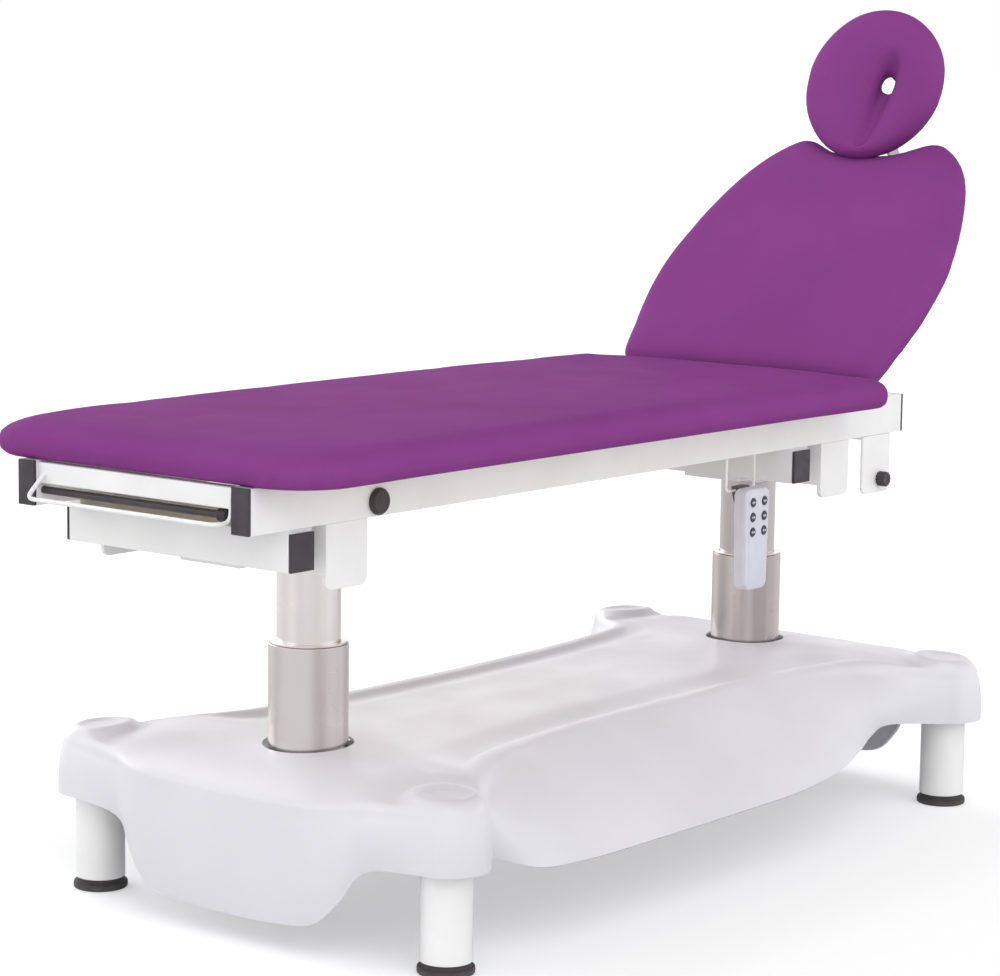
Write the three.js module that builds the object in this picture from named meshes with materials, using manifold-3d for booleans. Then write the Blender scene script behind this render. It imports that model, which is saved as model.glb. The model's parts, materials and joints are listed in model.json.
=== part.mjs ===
// An examination table on two lifting columns: a moulded base on four legs, a steel
// top frame, a seat section, a hinged backrest and a tilting face cushion.
// Millimetres, +Z up, floor at z = 0. The foot end is towards -X, the near side towards -Y.

import * as THREE from 'three';
import { mergeVertices } from 'three/addons/utils/BufferGeometryUtils.js';
import Module from 'manifold-3d';

// Clearances shared by all pieces
const seatGap = 0.3;
const runningGap = 0.4;
const cutOverrun = 5;

// Legs and rubber feet
const legSpacingX = 1252;
const legSpacingY = 640;
const legRadius = 35;
const legWall = 2.5;
const legTopDrop = 42;
const footRadius = 38.5;
const footThickness = 10;
const footCollarRadius = 33.5;
const footCollarHeight = 6;
const footPlugLength = 20;

// Chassis under the cover
const chassisDepth = 50;
const beamWidth = 44;
const spineWidth = 190;
const chassisSheet = 4;

// Lifting columns
const columnSpacing = 1066;
const columnOffset = -8;
const outerRadius = 55.5;
const innerRadius = 44.4;
const columnWall = 3;
const outerBottom = 60;
const outerTop = 384;
const outerFlangeLength = 190;
const outerFlangeWidth = 190;
const flangeThickness = 8;
const innerBottom = 160;
const innerTop = 507;
const innerFlangeWidth = 104;
const guideDepth = 40;
const guideLip = 3;
const guideLipRadius = 54.3;
const columnScrewHeadRadius = 5;
const columnScrewHeadHeight = 1.5;
const columnScrewHeight = 352;
const columnScrewAngle = -158;
const halfTurn = 180;
const motorRadius = 32;
const motorHeight = 60;
const screwRadius = 10;
const screwTop = 396;

// Moulded base cover
const coverWall = 4;
const coverDeckHeight = 242;
const coverCrown = 4;
const coverEndDrop = 32;
const coverEndReach = 92;
const coverSideReach = 66;
const coverSideCrestInset = 92;
const coverApronHeight = 36;
const coverSideDepth = 124;
const coverLobeRadius = 59;
const coverLobeDraft = 9;
const coverLobeDrop = 12;
const coverLobeDepth = 90;
const coverFillet = 22;
const coverLobeBulge = 3;
const coverEndBulge = 6;
const coverSideBulge = 15;
const coverMiddleShare = 0.45;
const coverDeckPower = 4;
const coverRidgeHalf = 500;
const lobeStartAngle = 175;
const lobeEndAngle = 330;
const lobeSteps = 5;
const stationSampling = 1.5;
const coverHoleGap = 8;
const coverSeatWall = 7;
const coverSeatDrop = 3.5;

// Top frame: rails, end caps, cross tubes and the brackets on the columns
const railFootX = -878;
const railHeadX = 652;
const railHalfSpan = 207;
const railWidth = 30;
const railHeight = 60;
const railBottom = 590;
const sheetWall = 2;
const capThickness = 5;
const capPlugLength = 20;
const plugX = -639;
const plugRadius = 18;
const plugHeight = 8;
const plugDrop = 40;
const plugRimHeight = 5;
const plugFaceRadius = 16;
const crossTubeFootX = -778;
const crossTubeHeadX = 371;
const crossTubeWidth = 44;
const crossTubeHeight = 50;
const crossTubeShim = 6.5;
const crossTubeEndInset = 4;
const bracketFootX = -696;
const bracketHeadX = 461;
const bracketWidth = 80;
const bracketEndInset = 7;
const bracketWall = 4;
const bracketEndPlate = 5;
const bracketEndDrop = 20;
const bracketCornerRadius = 12;
const saddleWidth = 108;
const saddleReach = 55;
const footBarDepth = 20;
const footBarHeight = 28;
const footBarInset = 2;

// Paper-roll rod and its wire guide at the foot end
const paperRodRadius = 5;
const paperRodInset = 12;
const paperRodDrop = 40;
const paperCollarRadius = 9;
const paperCollarLength = 16;
const paperCollarInset = 18;
const paperGuideRadius = 3;
const paperGuideReach = 32;
const paperGuideDrop = 30;
const paperGuideInset = 12;
const paperGuideSink = 1;
const paperGuideBend = 14;

// Clamp bracket with a knob at the head end
const clampX = 581;
const clampWidth = 82;
const clampDrop = 93;
const clampSheet = 5;
const clampFlange = 26;
const clampKnobOffset = 10;
const clampKnobRise = 22;
const knobRadius = 12;
const knobRib = 1.4;
const knobRibs = 12;
const knobHeight = 15;
const knobShaftRadius = 4;

// Cushions and their boards
const boardThickness = 9;
const cushionThickness = 49;
const cushionCrown = 5;
const cushionHalfWidth = 305;
const cushionFootX = -886;
const seatHeadX = 474;
const seatFootCorner = 98;
const seatHeadCorner = 26;
const cushionRoll = 20;
const boardInset = 34;
const cushionSteps = 50;
const backrestSteps = 76;

// Backrest, drawn flat along +X from its hinge and turned up
const hingeX = 500;
const hingeRadius = 8;
const backrestAngle = 43;
const backrestStart = 14;
const backrestLength = 540;
const backrestHalfWidth = 268;
const backrestTension = 0.22;
const backrestNotchShare = 0.911;
const armSpacing = 140;
const armWidth = 26;
const armDepth = 20;
const armHeadGap = 47;
const armTieWidth = 30;
const armTieStart = 90;
const armTieHalfLength = 130;
const crankRadius = 36;
const crankAngle = -120;
const crankThickness = 10;
const crankEyeRadius = 10;
const crankPinRadius = 5;
const crankPinLength = 26;

// Backrest actuator under the seat
const actuatorPivotX = 150;
const actuatorRise = 3;
const actuatorBarWidth = 30;
const actuatorBarDepth = 40;
const actuatorBarGap = 20;
const actuatorLug = 6;
const actuatorPinRadius = 5;
const actuatorEyeRadius = 13;
const actuatorEyeWidth = 24;
const actuatorHousingLength = 120;
const actuatorHousingWidth = 50;
const actuatorHousingDepth = 44;
const actuatorHousingStart = 22;
const actuatorTubeRadius = 18;
const actuatorTubeEnd = 285;
const actuatorRodRadius = 10;
const actuatorRodInside = 110;
const forkCheek = 6;
const forkHeight = 30;
const forkLength = 46;
const forkSlack = 3.6;

// Headrest: sliding rods, tilting board and face cushion
const headrestRodRadius = 6;
const headrestRodInside = 170;
const headrestPivotGap = 46;
const headrestPivotRise = 33;
const headrestTilt = 29;
const headrestBracketThickness = 9;
const headrestEarThickness = 6;
const headrestEarSpacing = 54;
const headrestEarRadius = 11;
const headrestPinRadius = 4;
const headrestBoardThickness = 6;
const headrestBoardRise = 12;
const headrestBoardInset = 16;
const headrestLugWidth = 20;
const headrestDrop = 40;
const headrestLength = 252;
const headrestHalfWidth = 127;
const headrestFullness = 0.04;
const headrestCushionDepth = 46;
const holeLowEnd = 25;
const holeLength = 128;
const holeHalfWidth = 25;
const holeSlitShare = 0.16;
const holeTaperPower = 0.8;
const boardHoleHalfWidth = 34;
const boardHoleLength = 84;

// Handset, its wire loop and its buttons
const handsetX = 217;
const handsetTop = 542;
const handsetLength = 154;
const handsetTopWidth = 64;
const handsetBottomWidth = 56;
const handsetDepth = 25;
const handsetCorner = 12;
const handsetBackGap = 4;
const loopHalfSpan = 37;
const loopDrop = 53;
const loopWireRadius = 2;
const loopBend = 8;
const hookWidth = 30;
const hookWall = 4;
const hookDrop = 24;
const buttonSpacingX = 30;
const buttonSpacingZ = 22.5;
const buttonTopDrop = 20;
const buttonRadius = 7;
const buttonPocketDepth = 3.4;
const buttonTravel = 1;
const buttonRise = 1.4;
const buttonRows = 3;
const buttonColumns = 2;

// Counts of flat sides on round pieces
const roundSides = 18;
const columnSides = 28;
const wireSides = 8;
const smallSides = 10;

// Places worked out from the sizes above
const legX = legSpacingX / 2;
const legY = legSpacingY / 2;
const columnFootX = columnOffset - columnSpacing / 2;
const columnHeadX = columnOffset + columnSpacing / 2;
const legTopHeight = coverDeckHeight - legTopDrop;
const chassisBottom = legTopHeight - chassisDepth;
const coverEndHeight = coverDeckHeight - coverEndDrop;
const coverSideEdgeHeight = coverDeckHeight - coverSideDepth;
const coverLobeTop = coverDeckHeight - coverLobeDrop;
const coverLobeEdgeHeight = coverLobeTop - coverLobeDepth;
const coverSeatTop = coverLobeTop - coverSeatDrop;
const legBottom = footThickness + footCollarHeight + seatGap;
const railTop = railBottom + railHeight;
const railInner = railHalfSpan - railWidth;
const bracketHalfLength = railHalfSpan - bracketEndInset;
const paperGuideHalfSpan = railInner - paperGuideInset;
const seatBoardBottom = railTop + seatGap;
const hingeHeight = railTop;
const actuatorHeight = hingeHeight - crankRadius + actuatorRise;
const headrestPivotReach = backrestStart + backrestLength * backrestNotchShare + headrestPivotGap;
const armLength = headrestPivotReach - headrestEarRadius - headrestBracketThickness - armHeadGap;
const saddleBottom = innerTop + flangeThickness + seatGap;
const bracketBottom = saddleBottom + flangeThickness;
const crossTubeTop = railBottom - seatGap - crossTubeShim;
const handsetBack = -(railHalfSpan - railWidth / 2) - loopWireRadius - handsetBackGap - hookWall;
const handsetFront = handsetBack - handsetDepth;

const degree = Math.PI / 180;
const wasm = await Module();
wasm.setup();

// Geometry helpers

function signedVolume(geometry) {
  const position = geometry.attributes.position;
  const index = geometry.index;
  const corner = [new THREE.Vector3(), new THREE.Vector3(), new THREE.Vector3()];
  let volume = 0;
  for (let i = 0; i < index.count; i += 3) {
    corner.forEach((point, k) => point.fromBufferAttribute(position, index.getX(i + k)));
    volume += corner[0].dot(corner[1].clone().cross(corner[2]));
  }
  return volume;
}

// Merges shared vertices and turns the faces outwards.
function closed(geometry) {
  const bare = geometry.clone();
  bare.deleteAttribute('normal');
  bare.deleteAttribute('uv');
  const merged = mergeVertices(bare);
  if (signedVolume(merged) < 0) {
    merged.setIndex(Array.from(merged.index.array).reverse());
  }
  return merged;
}

function toSolid(geometry) {
  const merged = closed(geometry);
  return new wasm.Manifold(new wasm.Mesh({
    numProp: 3,
    vertProperties: new Float32Array(merged.attributes.position.array),
    triVerts: new Uint32Array(merged.index.array),
  }));
}

function toGeometry(solid) {
  const mesh = solid.getMesh();
  const geometry = new THREE.BufferGeometry();
  geometry.setAttribute('position', new THREE.BufferAttribute(new Float32Array(mesh.vertProperties), 3));
  geometry.setIndex(Array.from(mesh.triVerts));
  return geometry;
}

function join(first, ...others) {
  return toGeometry(others.reduce((solid, other) => solid.add(toSolid(other)), toSolid(first)));
}

function cut(body, ...tools) {
  return toGeometry(tools.reduce((solid, tool) => solid.subtract(toSolid(tool)), toSolid(body)));
}

function block(x0, x1, y0, y1, z0, z1) {
  const geometry = new THREE.BoxGeometry(x1 - x0, y1 - y0, z1 - z0);
  return geometry.translate((x0 + x1) / 2, (y0 + y1) / 2, (z0 + z1) / 2);
}

// A body turned about the Z axis from [radius, height] pairs.
function turned(profile, sides) {
  const points = profile.map(([radius, height]) => new THREE.Vector2(radius, height));
  return new THREE.LatheGeometry(points, sides).rotateX(90 * degree);
}

function rod(radius, z0, z1, sides) {
  return turned([[0, z0], [radius, z0], [radius, z1], [0, z1]], sides);
}

function pipe(radius, bore, z0, z1, sides) {
  return turned([[bore, z0], [radius, z0], [radius, z1], [bore, z1], [bore, z0]], sides);
}

// A rod lying along Y.
function crossRod(radius, y0, y1, sides) {
  return rod(radius, y0, y1, sides).rotateX(-90 * degree);
}

// A rod lying along X.
function longRod(radius, x0, x1, sides) {
  return rod(radius, x0, x1, sides).rotateY(90 * degree);
}

// A tube of a round section swept along a bent wire's centre line.
function bentWire(points, bend, radius) {
  const path = new THREE.CurvePath();
  let start = points[0];
  for (let i = 1; i < points.length - 1; i += 1) {
    const corner = points[i];
    const before = corner.clone().add(start.clone().sub(corner).setLength(bend));
    const after = corner.clone().add(points[i + 1].clone().sub(corner).setLength(bend));
    path.add(new THREE.LineCurve3(start, before));
    path.add(new THREE.QuadraticBezierCurve3(before, corner, after));
    start = after;
  }
  path.add(new THREE.LineCurve3(start, points[points.length - 1]));
  const section = new THREE.Shape();
  section.absarc(0, 0, radius, 0, 2 * Math.PI);
  const steps = points.length * wireSides / 2;
  return new THREE.ExtrudeGeometry(section, { extrudePath: path, steps, curveSegments: wireSides / 2 });
}

// A rectangle with its own radius at each pair of corners, from x0 to x1 along X.
function roundedRectangle(x0, x1, halfWidth, radius0, radius1) {
  const shape = new THREE.Shape();
  shape.absarc(x0 + radius0, -halfWidth + radius0, radius0, Math.PI, 1.5 * Math.PI);
  shape.absarc(x1 - radius1, -halfWidth + radius1, radius1, 1.5 * Math.PI, 2 * Math.PI);
  shape.absarc(x1 - radius1, halfWidth - radius1, radius1, 0, 0.5 * Math.PI);
  shape.absarc(x0 + radius0, halfWidth - radius0, radius0, 0.5 * Math.PI, Math.PI);
  shape.closePath();
  return shape;
}

function plate(shape, z0, z1, curveSegments = 3) {
  const geometry = new THREE.ExtrudeGeometry(shape, { depth: z1 - z0, bevelEnabled: false, curveSegments });
  return geometry.translate(0, 0, z0);
}

// A plate standing across Y: the shape's y becomes the height, and it spans y0 to y1.
function standingPlate(shape, y0, y1, curveSegments = 3) {
  return plate(shape, 0, y1 - y0, curveSegments).rotateX(90 * degree).translate(0, y1, 0);
}

// A rectangle hanging from topZ with rounded lower corners, for a standing plate.
function hangingShape(x, width, bottomZ, topZ, radius) {
  const shape = new THREE.Shape();
  shape.moveTo(x + width / 2, topZ);
  shape.lineTo(x - width / 2, topZ);
  shape.absarc(x - width / 2 + radius, bottomZ + radius, radius, Math.PI, 1.5 * Math.PI);
  shape.absarc(x + width / 2 - radius, bottomZ + radius, radius, 1.5 * Math.PI, 2 * Math.PI);
  shape.closePath();
  return shape;
}

// Joins rings of equal point counts into one skin, each square split along its shorter
// diagonal. Each end is closed by a fan to its apex, or the last ring meets the first
// where no apexes are given.
function skin(rings, apexes) {
  const count = rings[0].length;
  const points = rings.flat();
  const index = [];
  const spans = apexes ? rings.length - 1 : rings.length;
  for (let r = 0; r < spans; r += 1) {
    const lower = r * count;
    const upper = ((r + 1) % rings.length) * count;
    for (let i = 0; i < count; i += 1) {
      const next = (i + 1) % count;
      const [a, b, c, d] = [lower + i, lower + next, upper + next, upper + i];
      const alongFirst = points[a].distanceTo(points[c]) < points[b].distanceTo(points[d]);
      index.push(...(alongFirst ? [a, b, c, a, c, d] : [a, b, d, b, c, d]));
    }
  }
  if (apexes) {
    points.push(...apexes);
    const last = (rings.length - 1) * count;
    for (let i = 0; i < count; i += 1) {
      const next = (i + 1) % count;
      index.push(points.length - 2, next, i, points.length - 1, last + i, last + next);
    }
  }
  const geometry = new THREE.BufferGeometry().setFromPoints(points);
  geometry.setIndex(index);
  return closed(geometry);
}

// Materials

const paint = (color, roughness, metalness = 0) => () => (
  new THREE.MeshStandardMaterial({ color, roughness, metalness })
);
const whiteEnamel = paint(0xe4e5e6, 0.35);
const coverPlastic = paint(0xdcdbe0, 0.4);
const brushedSteel = paint(0xcfc8c0, 0.35, 0.9);
const darkPlastic = paint(0x332f33, 0.5);
const blackRubber = paint(0x3a3838, 0.8);
const purpleVinyl = paint(0x864488, 0.55);
const plywood = paint(0xc9b08a, 0.7);
const greyPlastic = paint(0xd7d6e2, 0.4);
const navyButton = paint(0x2c2c4a, 0.5);
const zincSteel = paint(0xa9abad, 0.4, 0.8);
const castHousing = paint(0x77797c, 0.5, 0.3);

const group = new THREE.Group();

function add(name, geometry, material, parent = group) {
  const mesh = new THREE.Mesh(closed(geometry), material());
  mesh.name = name;
  parent.add(mesh);
  return mesh;
}

// Base: legs, feet, chassis and columns

function footPad() {
  const plugRadiusInLeg = legRadius - legWall - runningGap;
  const collarTop = footThickness + footCollarHeight;
  return turned([
    [0, 0],
    [footRadius - sheetWall / 2, 0],
    [footRadius, sheetWall],
    [footRadius, footThickness - sheetWall],
    [footCollarRadius, footThickness],
    [footCollarRadius, collarTop],
    [plugRadiusInLeg, collarTop],
    [plugRadiusInLeg, collarTop + footPlugLength],
    [0, collarTop + footPlugLength],
  ], roundSides);
}

function addLegs() {
  for (const [endName, sx] of [['foot', -1], ['head', 1]]) {
    for (const [sideName, sy] of [['near', -1], ['far', 1]]) {
      const leg = pipe(legRadius, legRadius - legWall, legBottom, legTopHeight, roundSides);
      const x = sx * legX;
      const y = sy * legY;
      add(`leg_${endName}_${sideName}`, leg.translate(x, y, 0), whiteEnamel);
      add(`foot_pad_${endName}_${sideName}`, footPad().translate(x, y, 0), blackRubber);
    }
  }
}

// A folded channel, open below, with its web on top.
function openChannel(x0, x1, y0, y1, axis) {
  const z0 = chassisBottom;
  const z1 = chassisBottom + chassisDepth;
  const sheet = chassisSheet;
  const hollow = axis === 'x'
    ? block(x0 - cutOverrun, x1 + cutOverrun, y0 + sheet, y1 - sheet, z0 - cutOverrun, z1 - sheet)
    : block(x0 + sheet, x1 - sheet, y0 - cutOverrun, y1 + cutOverrun, z0 - cutOverrun, z1 - sheet);
  return cut(block(x0, x1, y0, y1, z0, z1), hollow);
}

// Each cross beam is coped round its two legs; the spine has a hole round each column.
function addChassis() {
  const z0 = chassisBottom;
  const z1 = chassisBottom + chassisDepth;
  for (const [endName, sx] of [['foot', -1], ['head', 1]]) {
    const x = sx * legX;
    const beam = openChannel(x - beamWidth / 2, x + beamWidth / 2, -legY, legY, 'y');
    const copes = [-legY, legY].map((y) => (
      rod(legRadius + seatGap, z0 - cutOverrun, z1 + cutOverrun, roundSides).translate(x, y, 0)
    ));
    add(`chassis_beam_${endName}`, cut(beam, ...copes), whiteEnamel);
  }
  const reach = legX - beamWidth / 2 - seatGap;
  const spine = openChannel(-reach, reach, -spineWidth / 2, spineWidth / 2, 'x');
  const holes = [columnFootX, columnHeadX].map((x) => (
    rod(outerRadius + seatGap, z0 - cutOverrun, z1 + cutOverrun, columnSides).translate(x, 0, 0)
  ));
  add('chassis_spine', cut(spine, ...holes), whiteEnamel);
}

// The outer tube stands through the spine, hung on its flange, with a closed lower end.
function outerColumn(screwAngle) {
  const bore = outerRadius - columnWall;
  const flangeBottom = chassisBottom + chassisDepth + seatGap;
  const tube = turned([
    [0, outerBottom],
    [outerRadius, outerBottom],
    [outerRadius, outerTop],
    [bore, outerTop],
    [bore, outerBottom + flangeThickness],
    [0, outerBottom + flangeThickness],
  ], columnSides);
  const flange = block(
    -outerFlangeLength / 2, outerFlangeLength / 2,
    -outerFlangeWidth / 2, outerFlangeWidth / 2,
    flangeBottom, flangeBottom + flangeThickness,
  );
  const overcut = rod(bore, flangeBottom - cutOverrun, flangeBottom + flangeThickness + cutOverrun, columnSides);
  const screwHead = longRod(columnScrewHeadRadius, 0, columnScrewHeadHeight + columnWall / 2, smallSides)
    .translate(outerRadius - columnWall / 2, 0, columnScrewHeight)
    .rotateZ(screwAngle * degree);
  return join(tube, cut(flange, overcut), screwHead);
}

function columnGuide() {
  const bore = innerRadius + runningGap;
  const seat = outerRadius - columnWall - seatGap;
  const lipBottom = outerTop + seatGap;
  return turned([
    [bore, outerTop - guideDepth],
    [seat, outerTop - guideDepth],
    [seat, lipBottom],
    [guideLipRadius, lipBottom],
    [guideLipRadius, lipBottom + guideLip],
    [bore, lipBottom + guideLip],
    [bore, outerTop - guideDepth],
  ], columnSides);
}

// The inner tube carries a square flange that is welded over its upper end.
function innerColumn() {
  const bore = innerRadius - columnWall;
  const half = innerFlangeWidth / 2;
  const tube = turned([
    [bore, innerBottom],
    [innerRadius, innerBottom],
    [innerRadius, innerTop + flangeThickness / 2],
    [0, innerTop + flangeThickness / 2],
    [0, innerTop],
    [bore, innerTop],
    [bore, innerBottom],
  ], columnSides);
  const flange = plate(roundedRectangle(-half, half, half, flangeThickness, flangeThickness), innerTop,
    innerTop + flangeThickness, 3);
  return join(tube, flange);
}

function liftMotor() {
  const z0 = outerBottom + flangeThickness + seatGap;
  return turned([
    [0, z0],
    [motorRadius, z0],
    [motorRadius, z0 + motorHeight],
    [screwRadius, z0 + motorHeight],
    [screwRadius, screwTop],
    [0, screwTop],
  ], smallSides);
}

function addColumns() {
  const columns = [
    ['foot', columnFootX, columnScrewAngle + halfTurn],
    ['head', columnHeadX, columnScrewAngle],
  ];
  for (const [endName, x, screwAngle] of columns) {
    add(`column_outer_${endName}`, outerColumn(screwAngle).translate(x, 0, 0), brushedSteel);
    add(`column_guide_${endName}`, columnGuide().translate(x, 0, 0), brushedSteel);
    add(`column_inner_${endName}`, innerColumn().translate(x, 0, 0), brushedSteel);
    add(`lift_motor_${endName}`, liftMotor().translate(x, 0, 0), castHousing);
  }
}

// Base cover: one moulded shell. Each station gives the skirt's lower edge and the crest
// where the wall turns into the deck, from the middle of the foot end round the near side.

// A station is the skirt's edge, the crest above it and the fullest point between them.
function station(edge, crest, outward, bulge) {
  const middle = edge.clone().lerp(crest, coverMiddleShare).addScaledVector(outward, bulge);
  return [edge, crest, middle];
}

function lobeStations(sx) {
  const centre = new THREE.Vector3(sx * legX, -legY, 0);
  const stations = Array.from({ length: lobeSteps + 1 }, (_, i) => {
    const angle = THREE.MathUtils.lerp(lobeStartAngle, lobeEndAngle, i / lobeSteps) * degree;
    const direction = new THREE.Vector3(-sx * Math.cos(angle), Math.sin(angle), 0);
    const edge = centre.clone().addScaledVector(direction, coverLobeRadius);
    const crest = centre.clone().addScaledVector(direction, coverLobeRadius - coverLobeDraft);
    edge.z = coverLobeEdgeHeight;
    crest.z = coverLobeTop;
    return station(edge, crest, direction, coverLobeBulge);
  });
  return sx < 0 ? stations : stations.reverse();
}

// Rows hold shares of the half leg spacing across, of the end's reach, and of the climb
// from the apron's lowest edge to the lobes' edge and from the end's crest to the lobes' top.
const endShares = [
  [0, 0.86, 0, 1, 0],
  [0.25, 0.86, 0.02, 1, 0.02],
  [0.48, 0.82, 0.12, 0.96, 0.1],
  [0.6, 0.76, 0.45, 0.9, 0.25],
  [0.7, 0.68, 0.86, 0.8, 0.55],
];

function endStations(sx) {
  return endShares.map(([across, edgeReach, edgeClimb, crestReach, crestClimb]) => station(
    new THREE.Vector3(
      sx * (legX + coverEndReach * edgeReach),
      -legY * across,
      coverApronHeight + (coverLobeEdgeHeight - coverApronHeight) * edgeClimb,
    ),
    new THREE.Vector3(
      sx * (legX + coverEndReach * crestReach),
      -legY * across,
      coverEndHeight + (coverLobeTop - coverEndHeight) * crestClimb,
    ),
    new THREE.Vector3(sx, 0, 0),
    coverEndBulge,
  ));
}

// Rows hold shares of the half leg spacing along X, of the side's reach outside the legs,
// of the rise of the lower edge, of the crest's inset, and of the crest's climb to the deck.
const sideShares = [
  [-0.87, 0.2, 0.9, 0.1, 0.2],
  [-0.8, 0.8, 0.3, 0.5, 0.6],
  [-0.66, 0.96, 0.05, 1, 0.95],
  [-0.4, 1, 0, 1.25, 1],
  [-0.1, 1, 0, 1.35, 1],
  [0.2, 0.94, 0.04, 1.35, 1],
  [0.4, 0.7, 0.3, 1.3, 1],
  [0.55, 0.1, 1, 1.2, 0.98],
  [0.68, -0.5, 1.6, 1.05, 0.9],
  [0.8, -0.5, 1.7, 0.75, 0.6],
];

function sideStations() {
  return sideShares.map(([along, edgeReach, edgeRise, crestInset, crestClimb]) => station(
    new THREE.Vector3(
      legX * along,
      -legY - coverSideReach * edgeReach,
      coverSideEdgeHeight + (coverLobeEdgeHeight - coverSideEdgeHeight) * edgeRise,
    ),
    new THREE.Vector3(
      legX * along,
      -legY + coverSideCrestInset * crestInset,
      coverLobeTop + (coverDeckHeight - coverLobeTop) * crestClimb,
    ),
    new THREE.Vector3(0, -1, 0),
    coverSideBulge,
  ));
}

function coverOutline() {
  const near = [
    ...endStations(-1),
    ...lobeStations(-1),
    ...sideStations(),
    ...lobeStations(1),
    ...endStations(1).reverse(),
  ];
  const far = near.slice(1, -1).reverse().map((points) => (
    points.map((point) => point.clone().setY(-point.y))
  ));
  return [...near, ...far];
}

function moveTowards(from, to, distance) {
  return from.clone().add(to.clone().sub(from).setLength(distance));
}

// The same rings moved inwards, square to the surface they span, by the wall's thickness.
function innerWall(rings, thickness) {
  return rings.map((ring, r) => ring.map((point, i) => {
    const around = ring[(i + 1) % ring.length].clone().sub(ring[(i + ring.length - 1) % ring.length]);
    const after = rings[Math.min(r + 1, rings.length - 1)][i];
    const across = after.clone().sub(rings[Math.max(r - 1, 0)][i]);
    return point.clone().addScaledVector(across.cross(around).normalize(), -thickness);
  }));
}

function coverShell() {
  const stations = coverOutline();
  const samples = Math.round(stations.length * stationSampling);
  const [edge, crest, middle] = [0, 1, 2].map((line) => {
    const curve = new THREE.CatmullRomCurve3(stations.map((points) => points[line]), true);
    return Array.from({ length: samples }, (_, i) => curve.getPoint(i / samples));
  });
  const deckShares = [0.4, 0.75];
  const deck = deckShares.map((share) => crest.map((point) => {
    const ridgeX = THREE.MathUtils.clamp(point.x, -coverRidgeHalf, coverRidgeHalf);
    return new THREE.Vector3(
      THREE.MathUtils.lerp(ridgeX, point.x, share),
      point.y * share,
      THREE.MathUtils.lerp(coverDeckHeight, point.z, share ** coverDeckPower),
    );
  }));
  const outerDeck = deck[deck.length - 1];
  const inTurn = crest.map((point, i) => moveTowards(point, outerDeck[i], coverFillet));
  const downTurn = crest.map((point, i) => moveTowards(point, edge[i], coverFillet));
  const turn = crest.map((point, i) => (
    new THREE.QuadraticBezierCurve3(inTurn[i], point, downTurn[i]).getPoint(1 / 2)
  ));
  const outer = [...deck, inTurn, turn, downTurn, middle, edge];
  const top = new THREE.Vector3(0, 0, coverDeckHeight + coverCrown);
  const underside = top.clone().setZ(top.z - coverWall);
  return skin([...outer, ...innerWall(outer, coverWall).reverse()], [top, underside]);
}

// A ring under each lobe stands on the top of the leg.
function addCover() {
  const holes = [columnFootX, columnHeadX].map((x) => (
    rod(outerRadius + coverHoleGap, coverEndHeight - coverFillet, coverDeckHeight + coverFillet, columnSides)
      .translate(x, 0, 0)
  ));
  const seats = [-legX, legX].flatMap((x) => [-legY, legY].map((y) => (
    pipe(legRadius, legRadius - coverSeatWall, legTopHeight + seatGap, coverSeatTop, roundSides).translate(x, y, 0)
  )));
  add('base_cover', cut(join(coverShell(), ...seats), ...holes), coverPlastic);
}

// Top frame

function boxTube(x0, x1, y0, y1, z0, z1, axis) {
  const w = sheetWall;
  const outer = block(x0, x1, y0, y1, z0, z1);
  const inner = axis === 'x'
    ? block(x0 - cutOverrun, x1 + cutOverrun, y0 + w, y1 - w, z0 + w, z1 - w)
    : block(x0 + w, x1 - w, y0 - cutOverrun, y1 + cutOverrun, z0 + w, z1 - w);
  return cut(outer, inner);
}

function addRails() {
  for (const [sideName, sy] of [['near', -1], ['far', 1]]) {
    const [y0, y1] = sy < 0 ? [-railHalfSpan, -railInner] : [railInner, railHalfSpan];
    add(`side_rail_${sideName}`, boxTube(railFootX, railHeadX, y0, y1, railBottom, railTop, 'x'), whiteEnamel);
    for (const [endName, x, sx] of [['foot', railFootX, -1], ['head', railHeadX, 1]]) {
      const inset = sheetWall + runningGap;
      const face = x + sx * seatGap;
      const cap = block(Math.min(face, face + sx * capThickness), Math.max(face, face + sx * capThickness),
        y0, y1, railBottom, railTop);
      const inside = x - sx * capPlugLength;
      const plug = block(Math.min(face, inside), Math.max(face, inside),
        y0 + inset, y1 - inset, railBottom + inset, railTop - inset);
      add(`rail_cap_${endName}_${sideName}`, join(cap, plug), darkPlastic);
    }
    const outerFace = sy * (railHalfSpan + seatGap);
    const plug = turned([
      [0, 0],
      [plugRadius, 0],
      [plugRadius, plugRimHeight],
      [plugFaceRadius, plugHeight],
      [0, plugHeight],
    ], roundSides).rotateX(-sy * 90 * degree).translate(plugX, outerFace, railTop - plugDrop);
    add(`rail_plug_${sideName}`, plug, darkPlastic);
  }
}

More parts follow.
